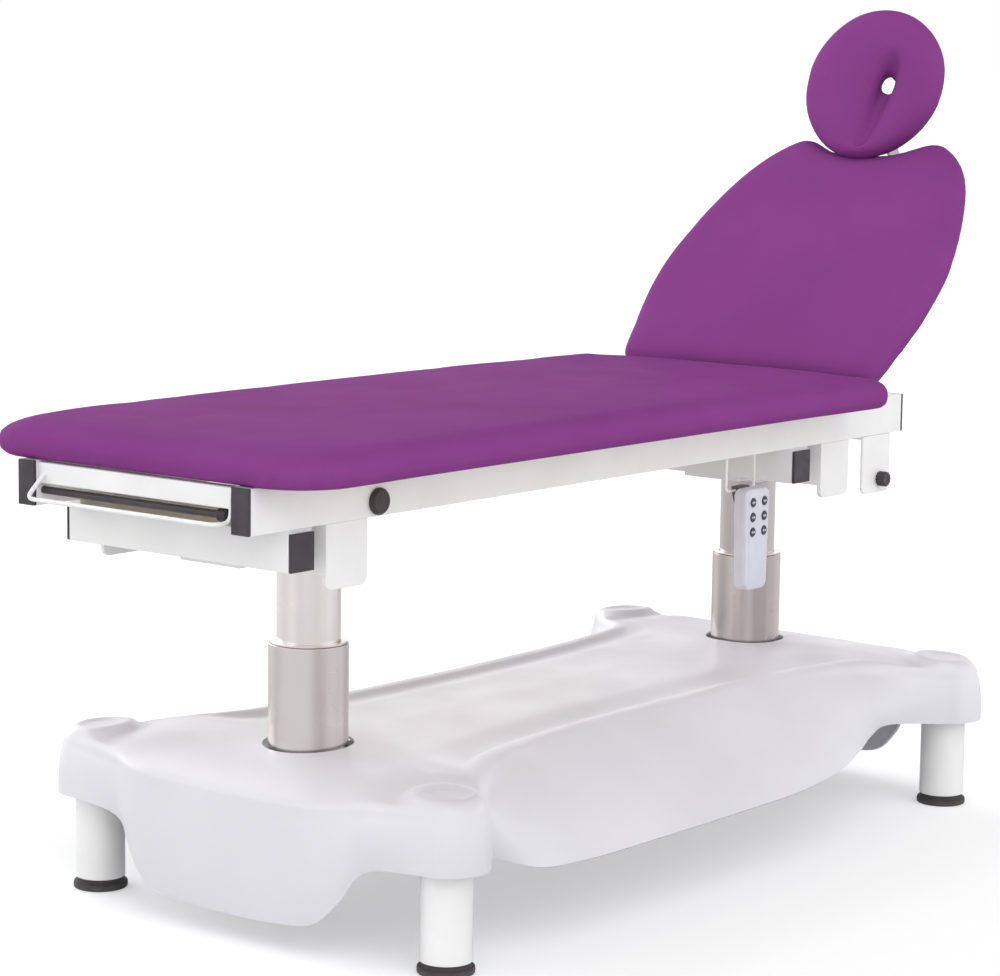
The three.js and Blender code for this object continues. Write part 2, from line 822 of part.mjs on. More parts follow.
// Square tubes under the rails, seated through a welded shim at each end.
function addCrossTubes() {
  for (const [endName, x] of [['foot', crossTubeFootX], ['head', crossTubeHeadX]]) {
    const x0 = x - crossTubeWidth / 2;
    const x1 = x + crossTubeWidth / 2;
    const z1 = crossTubeTop;
    const z0 = z1 - crossTubeHeight;
    const end = railHalfSpan - crossTubeEndInset - capThickness;
    const tube = boxTube(x0, x1, -end, end, z0, z1, 'y');
    const shims = [-1, 1].map((sy) => block(
      x0, x1,
      Math.min(sy * railInner, sy * end), Math.max(sy * railInner, sy * end),
      z1 - sheetWall / 2, z1 + crossTubeShim,
    ));
    add(`cross_tube_${endName}`, join(tube, ...shims), whiteEnamel);
    for (const [sideName, sy] of [['near', -1], ['far', 1]]) {
      const inset = sheetWall + runningGap;
      const face = sy * (end + seatGap);
      const outside = face + sy * capThickness;
      const inside = sy * (end - capPlugLength);
      const cap = block(x0, x1, Math.min(face, outside), Math.max(face, outside), z0, z1);
      const plug = block(x0 + inset, x1 - inset, Math.min(face, inside), Math.max(face, inside),
        z0 + inset, z1 - inset);
      add(`cross_tube_cap_${endName}_${sideName}`, join(cap, plug), darkPlastic);
    }
  }
}

// A folded channel across the rails with a hanging plate at each end, welded to a saddle
// plate that reaches over the column's flange.
function headBracket(channelX, column) {
  const top = railBottom - seatGap;
  const x0 = channelX - bracketWidth / 2;
  const x1 = channelX + bracketWidth / 2;
  const channel = cut(
    block(x0, x1, -bracketHalfLength, bracketHalfLength, bracketBottom, top),
    block(x0 + bracketWall, x1 - bracketWall, -bracketHalfLength - cutOverrun, bracketHalfLength + cutOverrun,
      bracketBottom - cutOverrun, top - bracketWall),
  );
  const hanging = hangingShape(channelX, bracketWidth, bracketBottom - bracketEndDrop, top, bracketCornerRadius);
  const overlap = bracketWall / 2;
  const ends = [
    standingPlate(hanging, -bracketHalfLength - bracketEndPlate, -bracketHalfLength + overlap),
    standingPlate(hanging, bracketHalfLength - overlap, bracketHalfLength + bracketEndPlate),
  ];
  const saddle = block(
    Math.min(x0, column - saddleReach), Math.max(x1, column + saddleReach),
    -saddleWidth / 2, saddleWidth / 2, saddleBottom, bracketBottom + bracketWall / 2,
  );
  return join(channel, ...ends, saddle);
}

function addHeadBrackets() {
  add('head_bracket_foot', headBracket(bracketFootX, columnFootX), whiteEnamel);
  add('head_bracket_head', headBracket(bracketHeadX, columnHeadX), whiteEnamel);
}

// The bar between the rails at the foot end, with the wire guide for the paper welded on.
function addFootBar() {
  const x0 = railFootX + footBarInset;
  const x1 = x0 + footBarDepth;
  const z1 = railTop - footBarInset;
  const z0 = z1 - footBarHeight;
  const half = railInner - seatGap;
  const bar = boxTube(x0, x1, -half, half, z0, z1, 'y');
  const rootX = x0 + sheetWall / 2;
  const rootZ = (z0 + z1) / 2;
  const weldX = x0 - paperGuideRadius + paperGuideSink;
  const nearY = paperGuideRadius + paperGuideSink - railInner;
  const guide = bentWire([
    new THREE.Vector3(weldX, nearY, rootZ),
    new THREE.Vector3(weldX, nearY, rootZ - paperGuideDrop),
    new THREE.Vector3(x0 - paperGuideReach, nearY, rootZ - paperGuideDrop),
    new THREE.Vector3(x0 - paperGuideReach, paperGuideHalfSpan, rootZ - paperGuideDrop),
    new THREE.Vector3(rootX, paperGuideHalfSpan, rootZ),
  ], paperGuideBend, paperGuideRadius);
  add('foot_cross_bar', join(bar, guide), whiteEnamel);
}

function addPaperRod() {
  const half = railInner - seatGap;
  const collarStart = -half + paperCollarInset;
  const paperRod = join(
    crossRod(paperRodRadius, -half, half, smallSides),
    crossRod(paperCollarRadius, collarStart, collarStart + paperCollarLength, smallSides),
  );
  add('paper_rod', paperRod.translate(railFootX + paperRodInset, 0, railTop - paperRodDrop), darkPlastic);
}

// An angle bracket under the near rail with a ribbed clamping knob.
function addClamp() {
  const top = railBottom - seatGap;
  const face = -railHalfSpan;
  const hanging = hangingShape(clampX, clampWidth, top - clampDrop, top, bracketCornerRadius);
  const knobX = clampX + clampKnobOffset;
  const knobZ = top - clampDrop + clampKnobRise;
  const holeTool = crossRod(knobShaftRadius + runningGap, face - cutOverrun, face + clampSheet + cutOverrun, smallSides)
    .translate(knobX, 0, knobZ);
  const bracket = join(
    cut(standingPlate(hanging, face, face + clampSheet), holeTool),
    block(clampX - clampWidth / 2, clampX + clampWidth / 2, face, face + clampFlange, top - clampSheet, top),
  );
  add('clamp_bracket', bracket, whiteEnamel);
  const ribbed = new THREE.Shape();
  for (let i = 0; i < 2 * knobRibs; i += 1) {
    const radius = i % 2 ? knobRadius : knobRadius - knobRib;
    const angle = (i * Math.PI) / knobRibs;
    ribbed[i ? 'lineTo' : 'moveTo'](radius * Math.cos(angle), radius * Math.sin(angle));
  }
  ribbed.closePath();
  const grip = standingPlate(ribbed, -knobHeight, 0);
  const shaft = crossRod(knobShaftRadius, -knobHeight / 2, clampSheet + knobShaftRadius, smallSides);
  add('clamp_knob', join(grip, shaft).translate(knobX, face - seatGap, knobZ), darkPlastic);
}

// Cushions: drawn-in sides, a crowned top and a recess below that takes the board.
// The outline is a list of plan points, counter-clockwise.

function inset(outline, distance) {
  const count = outline.length;
  return outline.map((point, i) => {
    const along = outline[(i + 1) % count].clone().sub(outline[(i + count - 1) % count]);
    return new THREE.Vector2(-along.y, along.x).setLength(distance).add(point);
  });
}

function centreOf(outline) {
  const box = new THREE.Box2().setFromPoints(outline);
  return box.getCenter(new THREE.Vector2());
}

// Rows hold shares of the edge roll drawn in and of the thickness.
const sideRollShares = [
  [0.7, 0],
  [0.18, 0.1],
  [0, 0.42],
  [0.12, 0.72],
  [0.45, 0.93],
  [1, 1],
];

// Rows hold shares of the outline's size and of the crown.
const crownShares = [
  [0.8, 0.45],
  [0.42, 0.88],
];

function cushion(outline, bottom) {
  const level = (points, z) => points.map((point) => new THREE.Vector3(point.x, point.y, z));
  const centre = centreOf(outline);
  const rings = sideRollShares.map(([drawn, rise]) => (
    level(inset(outline, cushionRoll * drawn), bottom + cushionThickness * rise)
  ));
  const top = bottom + cushionThickness;
  for (const [share, rise] of crownShares) {
    const shrunk = outline.map((point) => point.clone().lerp(centre, 1 - share));
    rings.push(level(shrunk, top + cushionCrown * rise));
  }
  return skin(rings, [
    new THREE.Vector3(centre.x, centre.y, bottom),
    new THREE.Vector3(centre.x, centre.y, top + cushionCrown),
  ]);
}

function shapeOutline(shape, count) {
  return shape.getSpacedPoints(count).slice(0, count);
}

// An outline drawn towards its centre, by the given distance at its widest.
function drawnIn(outline, distance) {
  const centre = centreOf(outline);
  const width = new THREE.Box2().setFromPoints(outline).getSize(new THREE.Vector2()).y;
  return outline.map((point) => point.clone().lerp(centre, distance / (width / 2)));
}

// A cushion with its board let into the underside, as [cushion, board].
function boardedCushion(outline, bottom, smaller) {
  const boardTop = bottom + boardThickness;
  const slab = (distance, z0, z1) => plate(new THREE.Shape(smaller(outline, distance)), z0, z1);
  const recess = slab(boardInset - seatGap, bottom - cutOverrun, boardTop + seatGap);
  return [cut(cushion(outline, bottom), recess), slab(boardInset, bottom, boardTop)];
}

function addSeat() {
  const shape = roundedRectangle(cushionFootX, seatHeadX, cushionHalfWidth, seatFootCorner, seatHeadCorner);
  const [seat, board] = boardedCushion(shapeOutline(shape, cushionSteps), seatBoardBottom, inset);
  add('seat_cushion', seat, purpleVinyl);
  add('seat_board', board, plywood);
}

// Backrest, in a group that turns about its hinge. Its outline widens a little from the
// hinge, closes in towards two shoulders and dips between them round the headrest:
// shares of the length and of the half width.
const backrestShares = [
  [0, 0.45],
  [0, 0.8],
  [0.03, 0.9],
  [0.14, 0.955],
  [0.3, 1],
  [0.46, 1],
  [0.61, 0.945],
  [0.752, 0.86],
  [0.848, 0.775],
  [0.905, 0.7],
  [0.955, 0.6],
  [0.985, 0.5],
  [0.979, 0.41],
  [0.954, 0.33],
  [0.925, 0.22],
  [0.913, 0.1],
  [backrestNotchShare, 0],
];

function backrestOutline() {
  const near = [[0, 0], ...backrestShares].map(([along, across]) => (
    new THREE.Vector3(backrestStart + backrestLength * along, -backrestHalfWidth * across, 0)
  ));
  const far = near.slice(1, -1).reverse().map((point) => point.clone().setY(-point.y));
  const curve = new THREE.CatmullRomCurve3([...near, ...far], true, 'catmullrom', backrestTension);
  return curve.getSpacedPoints(backrestSteps).slice(0, backrestSteps).map((point) => (
    new THREE.Vector2(point.x, point.y)
  ));
}

function backrestFrame() {
  const armTop = 0;
  const armBottom = armTop - armDepth;
  const half = railInner - 2 * seatGap;
  const arms = [-1, 1].map((sy) => {
    const y = (sy * armSpacing) / 2;
    const arm = block(0, armLength, y - armWidth / 2, y + armWidth / 2, armBottom, armTop);
    const bore = longRod(
      headrestRodRadius + runningGap, armLength - headrestRodInside - cutOverrun, armLength + cutOverrun, smallSides,
    ).translate(0, y, armBottom + armDepth / 2);
    return cut(arm, bore);
  });
  const tie = block(armTieStart, armTieStart + armTieWidth, -armTieHalfLength, armTieHalfLength,
    armBottom + sheetWall, armTop - sheetWall / 2);
  const crankX = crankRadius * Math.cos(crankAngle * degree);
  const crankZ = crankRadius * Math.sin(crankAngle * degree);
  const crankShape = new THREE.Shape();
  crankShape.absarc(crankX, crankZ, crankEyeRadius, (crankAngle - 90) * degree, (crankAngle + 90) * degree);
  crankShape.absarc(0, 0, crankEyeRadius, (crankAngle + 90) * degree, (crankAngle + 270) * degree);
  crankShape.closePath();
  const crank = standingPlate(crankShape, -crankThickness / 2, crankThickness / 2);
  const pin = crossRod(crankPinRadius, -crankPinLength / 2, crankPinLength / 2, smallSides)
    .translate(crankX, 0, crankZ);
  return join(crossRod(hingeRadius, -half, half, roundSides), ...arms, tie, crank, pin);
}

function addBackrest() {
  const backrest = new THREE.Group();
  backrest.position.set(hingeX, 0, hingeHeight);
  backrest.rotation.y = -backrestAngle * degree;
  group.add(backrest);
  const outline = backrestOutline();
  const [back, board] = boardedCushion(outline, 2 * seatGap, drawnIn);
  add('backrest_frame', backrestFrame(), whiteEnamel, backrest);
  add('backrest_board', board, plywood, backrest);
  add('backrest_cushion', back, purpleVinyl, backrest);
  return backrest;
}

// Actuator: a cross bar between the rails holds its rear eye, and its rod pushes the crank.
function addActuator() {
  const z = actuatorHeight;
  const half = railInner - seatGap;
  const barX1 = actuatorPivotX - actuatorBarGap;
  const bar = boxTube(barX1 - actuatorBarWidth, barX1, -half, half, z - actuatorBarDepth / 2,
    z + actuatorBarDepth / 2, 'y');
  const lugInner = actuatorEyeWidth / 2 + runningGap;
  const lugs = [-1, 1].map((sy) => block(
    barX1 - sheetWall / 2, actuatorPivotX + actuatorEyeRadius,
    Math.min(sy * lugInner, sy * (lugInner + actuatorLug)), Math.max(sy * lugInner, sy * (lugInner + actuatorLug)),
    z - actuatorEyeRadius, z + actuatorEyeRadius,
  ));
  const pin = crossRod(actuatorPinRadius, -lugInner - actuatorLug / 2, lugInner + actuatorLug / 2, smallSides)
    .translate(actuatorPivotX, 0, z);
  add('actuator_bar', join(bar, ...lugs, pin), whiteEnamel);

  const housingStart = actuatorPivotX + actuatorHousingStart;
  const housingEnd = housingStart + actuatorHousingLength;
  const tubeEnd = actuatorPivotX + actuatorTubeEnd;
  const eye = crossRod(actuatorEyeRadius, -actuatorEyeWidth / 2, actuatorEyeWidth / 2, roundSides)
    .translate(actuatorPivotX, 0, z);
  const neck = block(actuatorPivotX, housingStart + sheetWall, -actuatorEyeWidth / 2, actuatorEyeWidth / 2,
    z - actuatorEyeRadius / 2, z + actuatorEyeRadius / 2);
  const housing = block(housingStart, housingEnd, -actuatorHousingWidth / 2, actuatorHousingWidth / 2,
    z - actuatorHousingDepth / 2, z + actuatorHousingDepth / 2);
  const tube = longRod(actuatorTubeRadius, housingEnd - sheetWall, tubeEnd, roundSides).translate(0, 0, z);
  const eyeHole = crossRod(actuatorPinRadius + runningGap, -actuatorEyeWidth, actuatorEyeWidth, smallSides)
    .translate(actuatorPivotX, 0, z);
  const bore = longRod(actuatorRodRadius + runningGap, housingEnd - sheetWall, tubeEnd + cutOverrun, smallSides)
    .translate(0, 0, z);
  add('actuator_body', cut(join(eye, neck, housing, tube), eyeHole, bore), castHousing);

  const worldCrank = (crankAngle + backrestAngle) * degree;
  const pinX = hingeX + crankRadius * Math.cos(worldCrank);
  const cheekInner = crankThickness / 2 + 2 * runningGap;
  const forkStart = pinX - forkLength + forkHeight / 2;
  const fork = block(forkStart, pinX + forkHeight / 2, -cheekInner - forkCheek, cheekInner + forkCheek,
    z - forkHeight / 2, z + forkHeight / 2);
  const slot = block(forkStart + forkCheek, pinX + forkHeight, -cheekInner, cheekInner, z - forkHeight, z + forkHeight);
  const slack = crankPinRadius + forkSlack;
  const pinSlot = crossRod(slack, -crankPinLength, crankPinLength, roundSides).translate(pinX, 0, z);
  const shaft = longRod(actuatorRodRadius, tubeEnd - actuatorRodInside, forkStart + sheetWall, smallSides)
    .translate(0, 0, z);
  add('actuator_rod', cut(join(fork, shaft), slot, pinSlot), zincSteel);
}

// Headrest: rods that slide in the backrest's arms carry two ears; the board tilts in them.

function headrestOutline() {
  const count = cushionSteps - smallSides;
  return Array.from({ length: count }, (_, i) => {
    const angle = (2 * Math.PI * i) / count;
    const fullness = 1 + headrestFullness * Math.cos(2 * angle) ** 2 * Math.abs(Math.cos(angle));
    return new THREE.Vector2(
      -headrestDrop + (headrestLength / 2) * (1 + Math.cos(angle)),
      headrestHalfWidth * Math.sin(angle) * fullness,
    );
  });
}

// The face hole is a teardrop, wide above and drawn to a narrow slit below.
function holeOutline() {
  const count = cushionSteps - smallSides;
  return Array.from({ length: count }, (_, i) => {
    const angle = (2 * Math.PI * i) / count;
    const along = (1 + Math.cos(angle)) / 2;
    const taper = holeSlitShare + (1 - holeSlitShare) * along ** holeTaperPower;
    return new THREE.Vector2(
      -headrestDrop + holeLowEnd + holeLength * along,
      holeHalfWidth * Math.sin(angle) * taper,
    );
  });
}

// Rows hold shares of the width from the rim to the hole and of the depth.
const ringShares = [
  [0.14, 0],
  [0.02, 0.14],
  [0, 0.4],
  [0.07, 0.74],
  [0.27, 0.96],
  [0.5, 1],
  [0.74, 0.93],
  [0.94, 0.66],
  [1, 0.36],
  [0.97, 0.1],
  [0.84, 0],
];

function addHeadrest(backrest) {
  const slide = new THREE.Group();
  backrest.add(slide);
  const rodZ = -armDepth / 2;
  const plateX0 = headrestPivotReach - headrestEarRadius - headrestBracketThickness;
  const plateX1 = plateX0 + headrestBracketThickness;
  const rods = [-1, 1].map((sy) => (
    longRod(headrestRodRadius, armLength - headrestRodInside, plateX0 + sheetWall, smallSides)
      .translate(0, (sy * armSpacing) / 2, rodZ)
  ));
  const halfPlate = armSpacing / 2 + headrestRodRadius + sheetWall;
  const crossPlate = block(plateX0, plateX1, -halfPlate, halfPlate, rodZ - headrestRodRadius - sheetWall,
    rodZ + headrestRodRadius + sheetWall);
  const earShape = new THREE.Shape();
  earShape.moveTo(plateX0, rodZ - headrestRodRadius);
  earShape.lineTo(headrestPivotReach, rodZ - headrestRodRadius);
  earShape.absarc(headrestPivotReach, headrestPivotRise, headrestEarRadius, 0, Math.PI);
  earShape.lineTo(plateX0, headrestPivotRise - headrestEarRadius);
  earShape.closePath();
  const ears = [-1, 1].map((sy) => {
    const inside = (sy * headrestEarSpacing) / 2;
    const outside = inside + sy * headrestEarThickness;
    return standingPlate(earShape, Math.min(inside, outside), Math.max(inside, outside));
  });
  const pinHole = crossRod(headrestPinRadius + runningGap, -headrestEarSpacing, headrestEarSpacing, smallSides)
    .translate(headrestPivotReach, 0, headrestPivotRise);
  add('headrest_slide', cut(join(crossPlate, ...rods, ...ears), pinHole), zincSteel, slide);

  const head = new THREE.Group();
  head.position.set(headrestPivotReach, 0, headrestPivotRise);
  head.rotation.y = -headrestTilt * degree;
  slide.add(head);
  const outline = headrestOutline();
  const hole = holeOutline();
  const boardZ0 = headrestBoardRise;
  const boardZ1 = boardZ0 + headrestBoardThickness;
  const boardHole = new THREE.Shape();
  const holeTopX = -headrestDrop + holeLowEnd + holeLength;
  boardHole.absellipse(holeTopX - boardHoleLength / 2, 0, boardHoleLength / 2 + headrestBoardThickness,
    boardHoleHalfWidth, 0, 2 * Math.PI);
  const board = cut(
    plate(new THREE.Shape(inset(outline, headrestBoardInset)), boardZ0, boardZ1),
    plate(boardHole, boardZ0 - cutOverrun, boardZ1 + cutOverrun),
  );
  const lugHalf = headrestEarSpacing / 2 - runningGap;
  const lug = block(-headrestLugWidth / 2, headrestLugWidth / 2, -lugHalf, lugHalf,
    -headrestPinRadius - sheetWall, boardZ0 + sheetWall / 2);
  const pin = crossRod(headrestPinRadius, -lugHalf - headrestEarThickness, lugHalf + headrestEarThickness, smallSides);
  add('headrest_board', join(board, lug, pin), darkPlastic, head);

  const cushionBottom = boardZ1 + seatGap;
  const rings = ringShares.map(([across, rise]) => outline.map((point, i) => {
    const place = point.clone().lerp(hole[i], across);
    return new THREE.Vector3(place.x, place.y, cushionBottom + headrestCushionDepth * rise);
  }));
  add('headrest_cushion', skin(rings), purpleVinyl, head);
}

// Handset: a tapered body with a hook at its back, hung on a wire loop under the near rail.

function handsetShape() {
  const shape = new THREE.Shape();
  const top = handsetTop;
  const bottom = handsetTop - handsetLength;
  const r = handsetCorner;
  shape.absarc(handsetX - handsetBottomWidth / 2 + r, bottom + r, r, Math.PI, 1.5 * Math.PI);
  shape.absarc(handsetX + handsetBottomWidth / 2 - r, bottom + r, r, 1.5 * Math.PI, 2 * Math.PI);
  shape.absarc(handsetX + handsetTopWidth / 2 - r, top - r, r, 0, 0.5 * Math.PI);
  shape.absarc(handsetX - handsetTopWidth / 2 + r, top - r, r, 0.5 * Math.PI, Math.PI);
  shape.closePath();
  return shape;
}

function addHandset() {
  const wireY = -(railHalfSpan - railWidth / 2);
  const wireZ = railBottom - loopDrop;
  const wireTop = railBottom - seatGap;
  const loop = bentWire([
    new THREE.Vector3(handsetX - loopHalfSpan, wireY, wireTop),
    new THREE.Vector3(handsetX - loopHalfSpan, wireY, wireZ),
    new THREE.Vector3(handsetX + loopHalfSpan, wireY, wireZ),
    new THREE.Vector3(handsetX + loopHalfSpan, wireY, wireTop),
  ], loopBend, loopWireRadius);
  add('handset_loop', loop, whiteEnamel);

  const grooveTop = wireZ + loopWireRadius + seatGap;
  const hookBack = wireY + loopWireRadius + runningGap + hookWall;
  const hookX0 = handsetX - hookWidth / 2;
  const hookX1 = handsetX + hookWidth / 2;
  const hookTop = block(hookX0, hookX1, handsetBack - sheetWall, hookBack, grooveTop, grooveTop + hookWall);
  const hookLip = block(hookX0, hookX1, hookBack - hookWall, hookBack, grooveTop - hookDrop, grooveTop + hookWall);
  const pockets = [];
  const buttons = [];
  for (let row = 0; row < buttonRows; row += 1) {
    for (let column = 0; column < buttonColumns; column += 1) {
      const x = handsetX + (column - (buttonColumns - 1) / 2) * buttonSpacingX;
      const z = handsetTop - buttonTopDrop - row * buttonSpacingZ;
      pockets.push(crossRod(buttonRadius + runningGap, handsetFront - cutOverrun, handsetFront + buttonPocketDepth,
        smallSides).translate(x, 0, z));
      const back = handsetFront + buttonPocketDepth - buttonTravel - seatGap;
      buttons.push([`handset_button_${row + 1}${column ? 'b' : 'a'}`,
        crossRod(buttonRadius, handsetFront - buttonRise, back, smallSides).translate(x, 0, z)]);
    }
  }
  const body = standingPlate(handsetShape(), handsetFront, handsetBack);
  add('handset_body', cut(join(body, hookTop, hookLip), ...pockets), greyPlastic);
  for (const [name, geometry] of buttons) {
    add(name, geometry, navyButton);
  }
}

addCover();
addChassis();
addLegs();
addColumns();
addHeadBrackets();
addCrossTubes();
addRails();
addFootBar();
addPaperRod();
addClamp();
addSeat();
addActuator();
const backrestGroup = addBackrest();
addHeadrest(backrestGroup);
addHandset();

// The origin is set under the middle of the whole table.
const extent = new THREE.Box3().setFromObject(group);
group.position.set(-(extent.min.x + extent.max.x) / 2, -(extent.min.y + extent.max.y) / 2, -extent.min.z);

export default group;
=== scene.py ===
import json
import math
import bmesh
import bpy
import numpy as np
from mathutils import Euler, Matrix, Vector


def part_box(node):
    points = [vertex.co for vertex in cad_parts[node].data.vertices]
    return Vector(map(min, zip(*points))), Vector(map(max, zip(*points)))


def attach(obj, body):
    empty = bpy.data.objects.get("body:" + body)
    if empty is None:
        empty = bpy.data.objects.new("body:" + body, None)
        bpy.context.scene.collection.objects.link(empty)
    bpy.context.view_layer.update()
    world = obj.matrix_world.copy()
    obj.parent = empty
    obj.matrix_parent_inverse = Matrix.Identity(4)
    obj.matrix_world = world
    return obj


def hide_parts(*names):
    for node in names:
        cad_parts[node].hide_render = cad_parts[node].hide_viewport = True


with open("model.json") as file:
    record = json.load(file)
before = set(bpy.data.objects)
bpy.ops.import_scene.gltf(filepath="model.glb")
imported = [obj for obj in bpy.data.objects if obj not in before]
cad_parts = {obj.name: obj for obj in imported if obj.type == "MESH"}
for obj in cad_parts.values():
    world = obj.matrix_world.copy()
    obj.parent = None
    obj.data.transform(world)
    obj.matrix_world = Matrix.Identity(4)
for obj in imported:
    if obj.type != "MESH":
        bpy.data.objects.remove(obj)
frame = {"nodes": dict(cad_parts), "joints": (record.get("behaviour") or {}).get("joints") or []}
for spare in ("Cube", "Light", "Camera"):
    if spare in bpy.data.objects:
        bpy.data.objects.remove(bpy.data.objects[spare])
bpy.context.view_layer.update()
cad = frame["nodes"]
scene = bpy.context.scene
scene.view_settings.view_transform = "Standard"

# The view: the table is seen from its near foot corner, from a little above the seat,
# with a long lens from about four and a half metres away.
view_place = (-3.698, -2.828, 1.192)
view_turn = (82.014, -0.808, -51.384)
view_lens = 112.66
view_depth = 600

camera = bpy.data.objects.new("camera", bpy.data.cameras.new("camera"))
camera.location = view_place
camera.rotation_euler = Euler([math.radians(turn) for turn in view_turn])
camera.data.lens = view_lens
camera.data.clip_end = view_depth
scene.collection.objects.link(camera)
scene.camera = camera


# Rubber feet: turned black rubber pads, one pressed into the lower end of each leg. Their
# rims are rounded and pick up floor dust.
ends = ("foot", "head")
sides = {"near": -1, "far": 1}
mm = 0.001
pad_radius = 38.5 * mm
pad_height = 10 * mm
pad_collar_radius = 33.5 * mm
pad_collar_height = 16 * mm
pad_plug_radius = 32.1 * mm
pad_plug_height = 36 * mm
pad_rounding = 3.5 * mm
pad_tread = 6 * mm
pad_hollow = 0.4 * mm
pad_hollow_edge = 7 * mm
dust_height = 9 * mm
crisp_turn = math.radians(50)
corner_share = 0.49


def shade(red, green, blue):
    """A colour as it is read off a painted surface, 0 to 255 each."""
    def linear(level):
        share = level / 255
        return share / 12.92 if share <= 0.04045 else ((share + 0.055) / 1.055) ** 2.4
    return (linear(red), linear(green), linear(blue), 1)


def part_of(tree, kind, values=None, links=None):
    """One step of a finish, with its settings and the steps that feed it."""
    step = tree.nodes.new("ShaderNode" + kind)
    for socket, value in (values or {}).items():
        if isinstance(socket, str) and hasattr(step, socket):
            setattr(step, socket, value)
        else:
            step.inputs[socket].default_value = value
    for socket, source in (links or {}).items():
        tree.links.new(source, step.inputs[socket])
    return step


def new_finish(name, colour, roughness, metallic=0):
    """A plain finish to work on: the material, its steps, its shader and the place on the piece."""
    material = bpy.data.materials.new(name)
    material.use_nodes = True
    tree = material.node_tree
    shader = tree.nodes["Principled BSDF"]
    shader.inputs["Base Color"].default_value = colour
    shader.inputs["Roughness"].default_value = roughness
    shader.inputs["Metallic"].default_value = metallic
    place = part_of(tree, "TexCoord").outputs["Object"]
    return material, tree, shader, place


def stretched(tree, place, scale):
    """The place, stretched along each axis."""
    return part_of(tree, "Mapping", {"Scale": scale}, {"Vector": place}).outputs["Vector"]


def cloudy(tree, place, size, detail=3):
    """A soft random value with patches of the given size."""
    noise = part_of(tree, "TexNoise", {"Scale": 1 / size, "Detail": detail}, {"Vector": place})
    return noise.outputs["Fac"]


def tinted(tree, shader, value, dark, light, start=0.34, end=0.66):
    """Colours the piece from a dark tone to a light one, as a value goes from start to end."""
    ramp = part_of(tree, "ValToRGB", {}, {"Fac": value})
    tones = ramp.color_ramp.elements
    tones[0].position, tones[0].color = start, dark
    tones[1].position, tones[1].color = end, light
    tree.links.new(ramp.outputs["Color"], shader.inputs["Base Color"])


def mottle(tree, shader, place, dark, light, size):
    """Lets the colour drift between two tones in patches of the given size."""
    tinted(tree, shader, cloudy(tree, place, size), dark, light)


def risen(tree, value, start, end, low, high):
    """A level that goes from low to high, as a value goes from start to end."""
    limits = {"From Min": start, "From Max": end, "To Min": low, "To Max": high}
    return part_of(tree, "MapRange", limits, {"Value": value}).outputs["Result"]


def rub(tree, shader, place, smooth, rough, size, detail=4):
    """Lets the gloss drift between rubbed and untouched patches."""
    spread = risen(tree, cloudy(tree, place, size, detail), 0.3, 0.7, smooth, rough)
    tree.links.new(spread, shader.inputs["Roughness"])


def relief(tree, shader, height, depth):
    """Raises the surface by a height, on top of what relief it already has."""
    bump = part_of(tree, "Bump", {"Distance": depth}, {"Height": height})
    if shader.inputs["Normal"].is_linked:
        tree.links.new(shader.inputs["Normal"].links[0].from_socket, bump.inputs["Normal"])
    tree.links.new(bump.outputs["Normal"], shader.inputs["Normal"])


def plain_finish(name, colour, roughness, tones, gloss, grain, metallic=0):
    """A finish that drifts in colour and in gloss and has a fine grain.

    Tones are a dark and a light one and their patches' size, gloss is a smooth and a rough level
    and their patches' size, and the grain is its size, its detail and its depth."""
    material, tree, shader, place = new_finish(name, colour, roughness, metallic)
    mottle(tree, shader, place, *tones)
    rub(tree, shader, place, *gloss)
    relief(tree, shader, cloudy(tree, place, *grain[:2]), grain[2])
    return material


def foot_rubber():
    """Dull black rubber with a fine grain, and floor dust along its lower rim."""
    material, tree, shader, place = new_finish("foot_rubber", shade(58, 56, 56), 0.75)
    rub(tree, shader, place, 0.6, 0.85, 0.012)
    relief(tree, shader, cloudy(tree, place, 0.0012), 0.00015)
    height = part_of(tree, "SeparateXYZ", {}, {"Vector": place}).outputs["Z"]
    dust = risen(tree, height, 0.0, dust_height, 1.0, 0.0)
    patches = part_of(tree, "Math", {"operation": "MULTIPLY"}, {0: dust})
    tree.links.new(cloudy(tree, place, 0.008), patches.inputs[1])
    mix = part_of(tree, "Mix", {"data_type": "RGBA"}, {"Factor": patches.outputs["Value"]})
    mix.inputs[6].default_value = shade(56, 54, 54)
    mix.inputs[7].default_value = shade(104, 101, 97)
    tree.links.new(mix.outputs[2], shader.inputs["Base Color"])
    return material


def eased(corners, radius, steps=3):
    """An open line with each of its inner corners rounded."""
    line = [Vector(corners[0])]
    for before, corner, after in zip(corners, corners[1:], corners[2:]):
        a, b, c = Vector(before), Vector(corner), Vector(after)
        start = b + (a - b).normalized() * min(radius, (a - b).length * corner_share)
        end = b + (c - b).normalized() * min(radius, (c - b).length * corner_share)
        for i in range(steps + 1):
            t = i / steps
            line.append(start * (1 - t) ** 2 + b * 2 * t * (1 - t) + end * t * t)
    line.append(Vector(corners[-1]))
    return line


def shade_evenly(piece):
    """Lets the broad faces of a piece decide how its rounded corners are lit."""
    normals = piece.modifiers.new("even shading", "WEIGHTED_NORMAL")
    normals.weight = 80


def show(name, mesh, material):
    """Puts a finished mesh into the scene, evenly shaded, with its sharp corners kept crisp."""
    mesh.shade_smooth()
    mesh.set_sharp_from_angle(angle=crisp_turn)
    piece = bpy.data.objects.new(name, mesh)
    scene.collection.objects.link(piece)
    mesh.materials.append(material)
    shade_evenly(piece)
    return piece


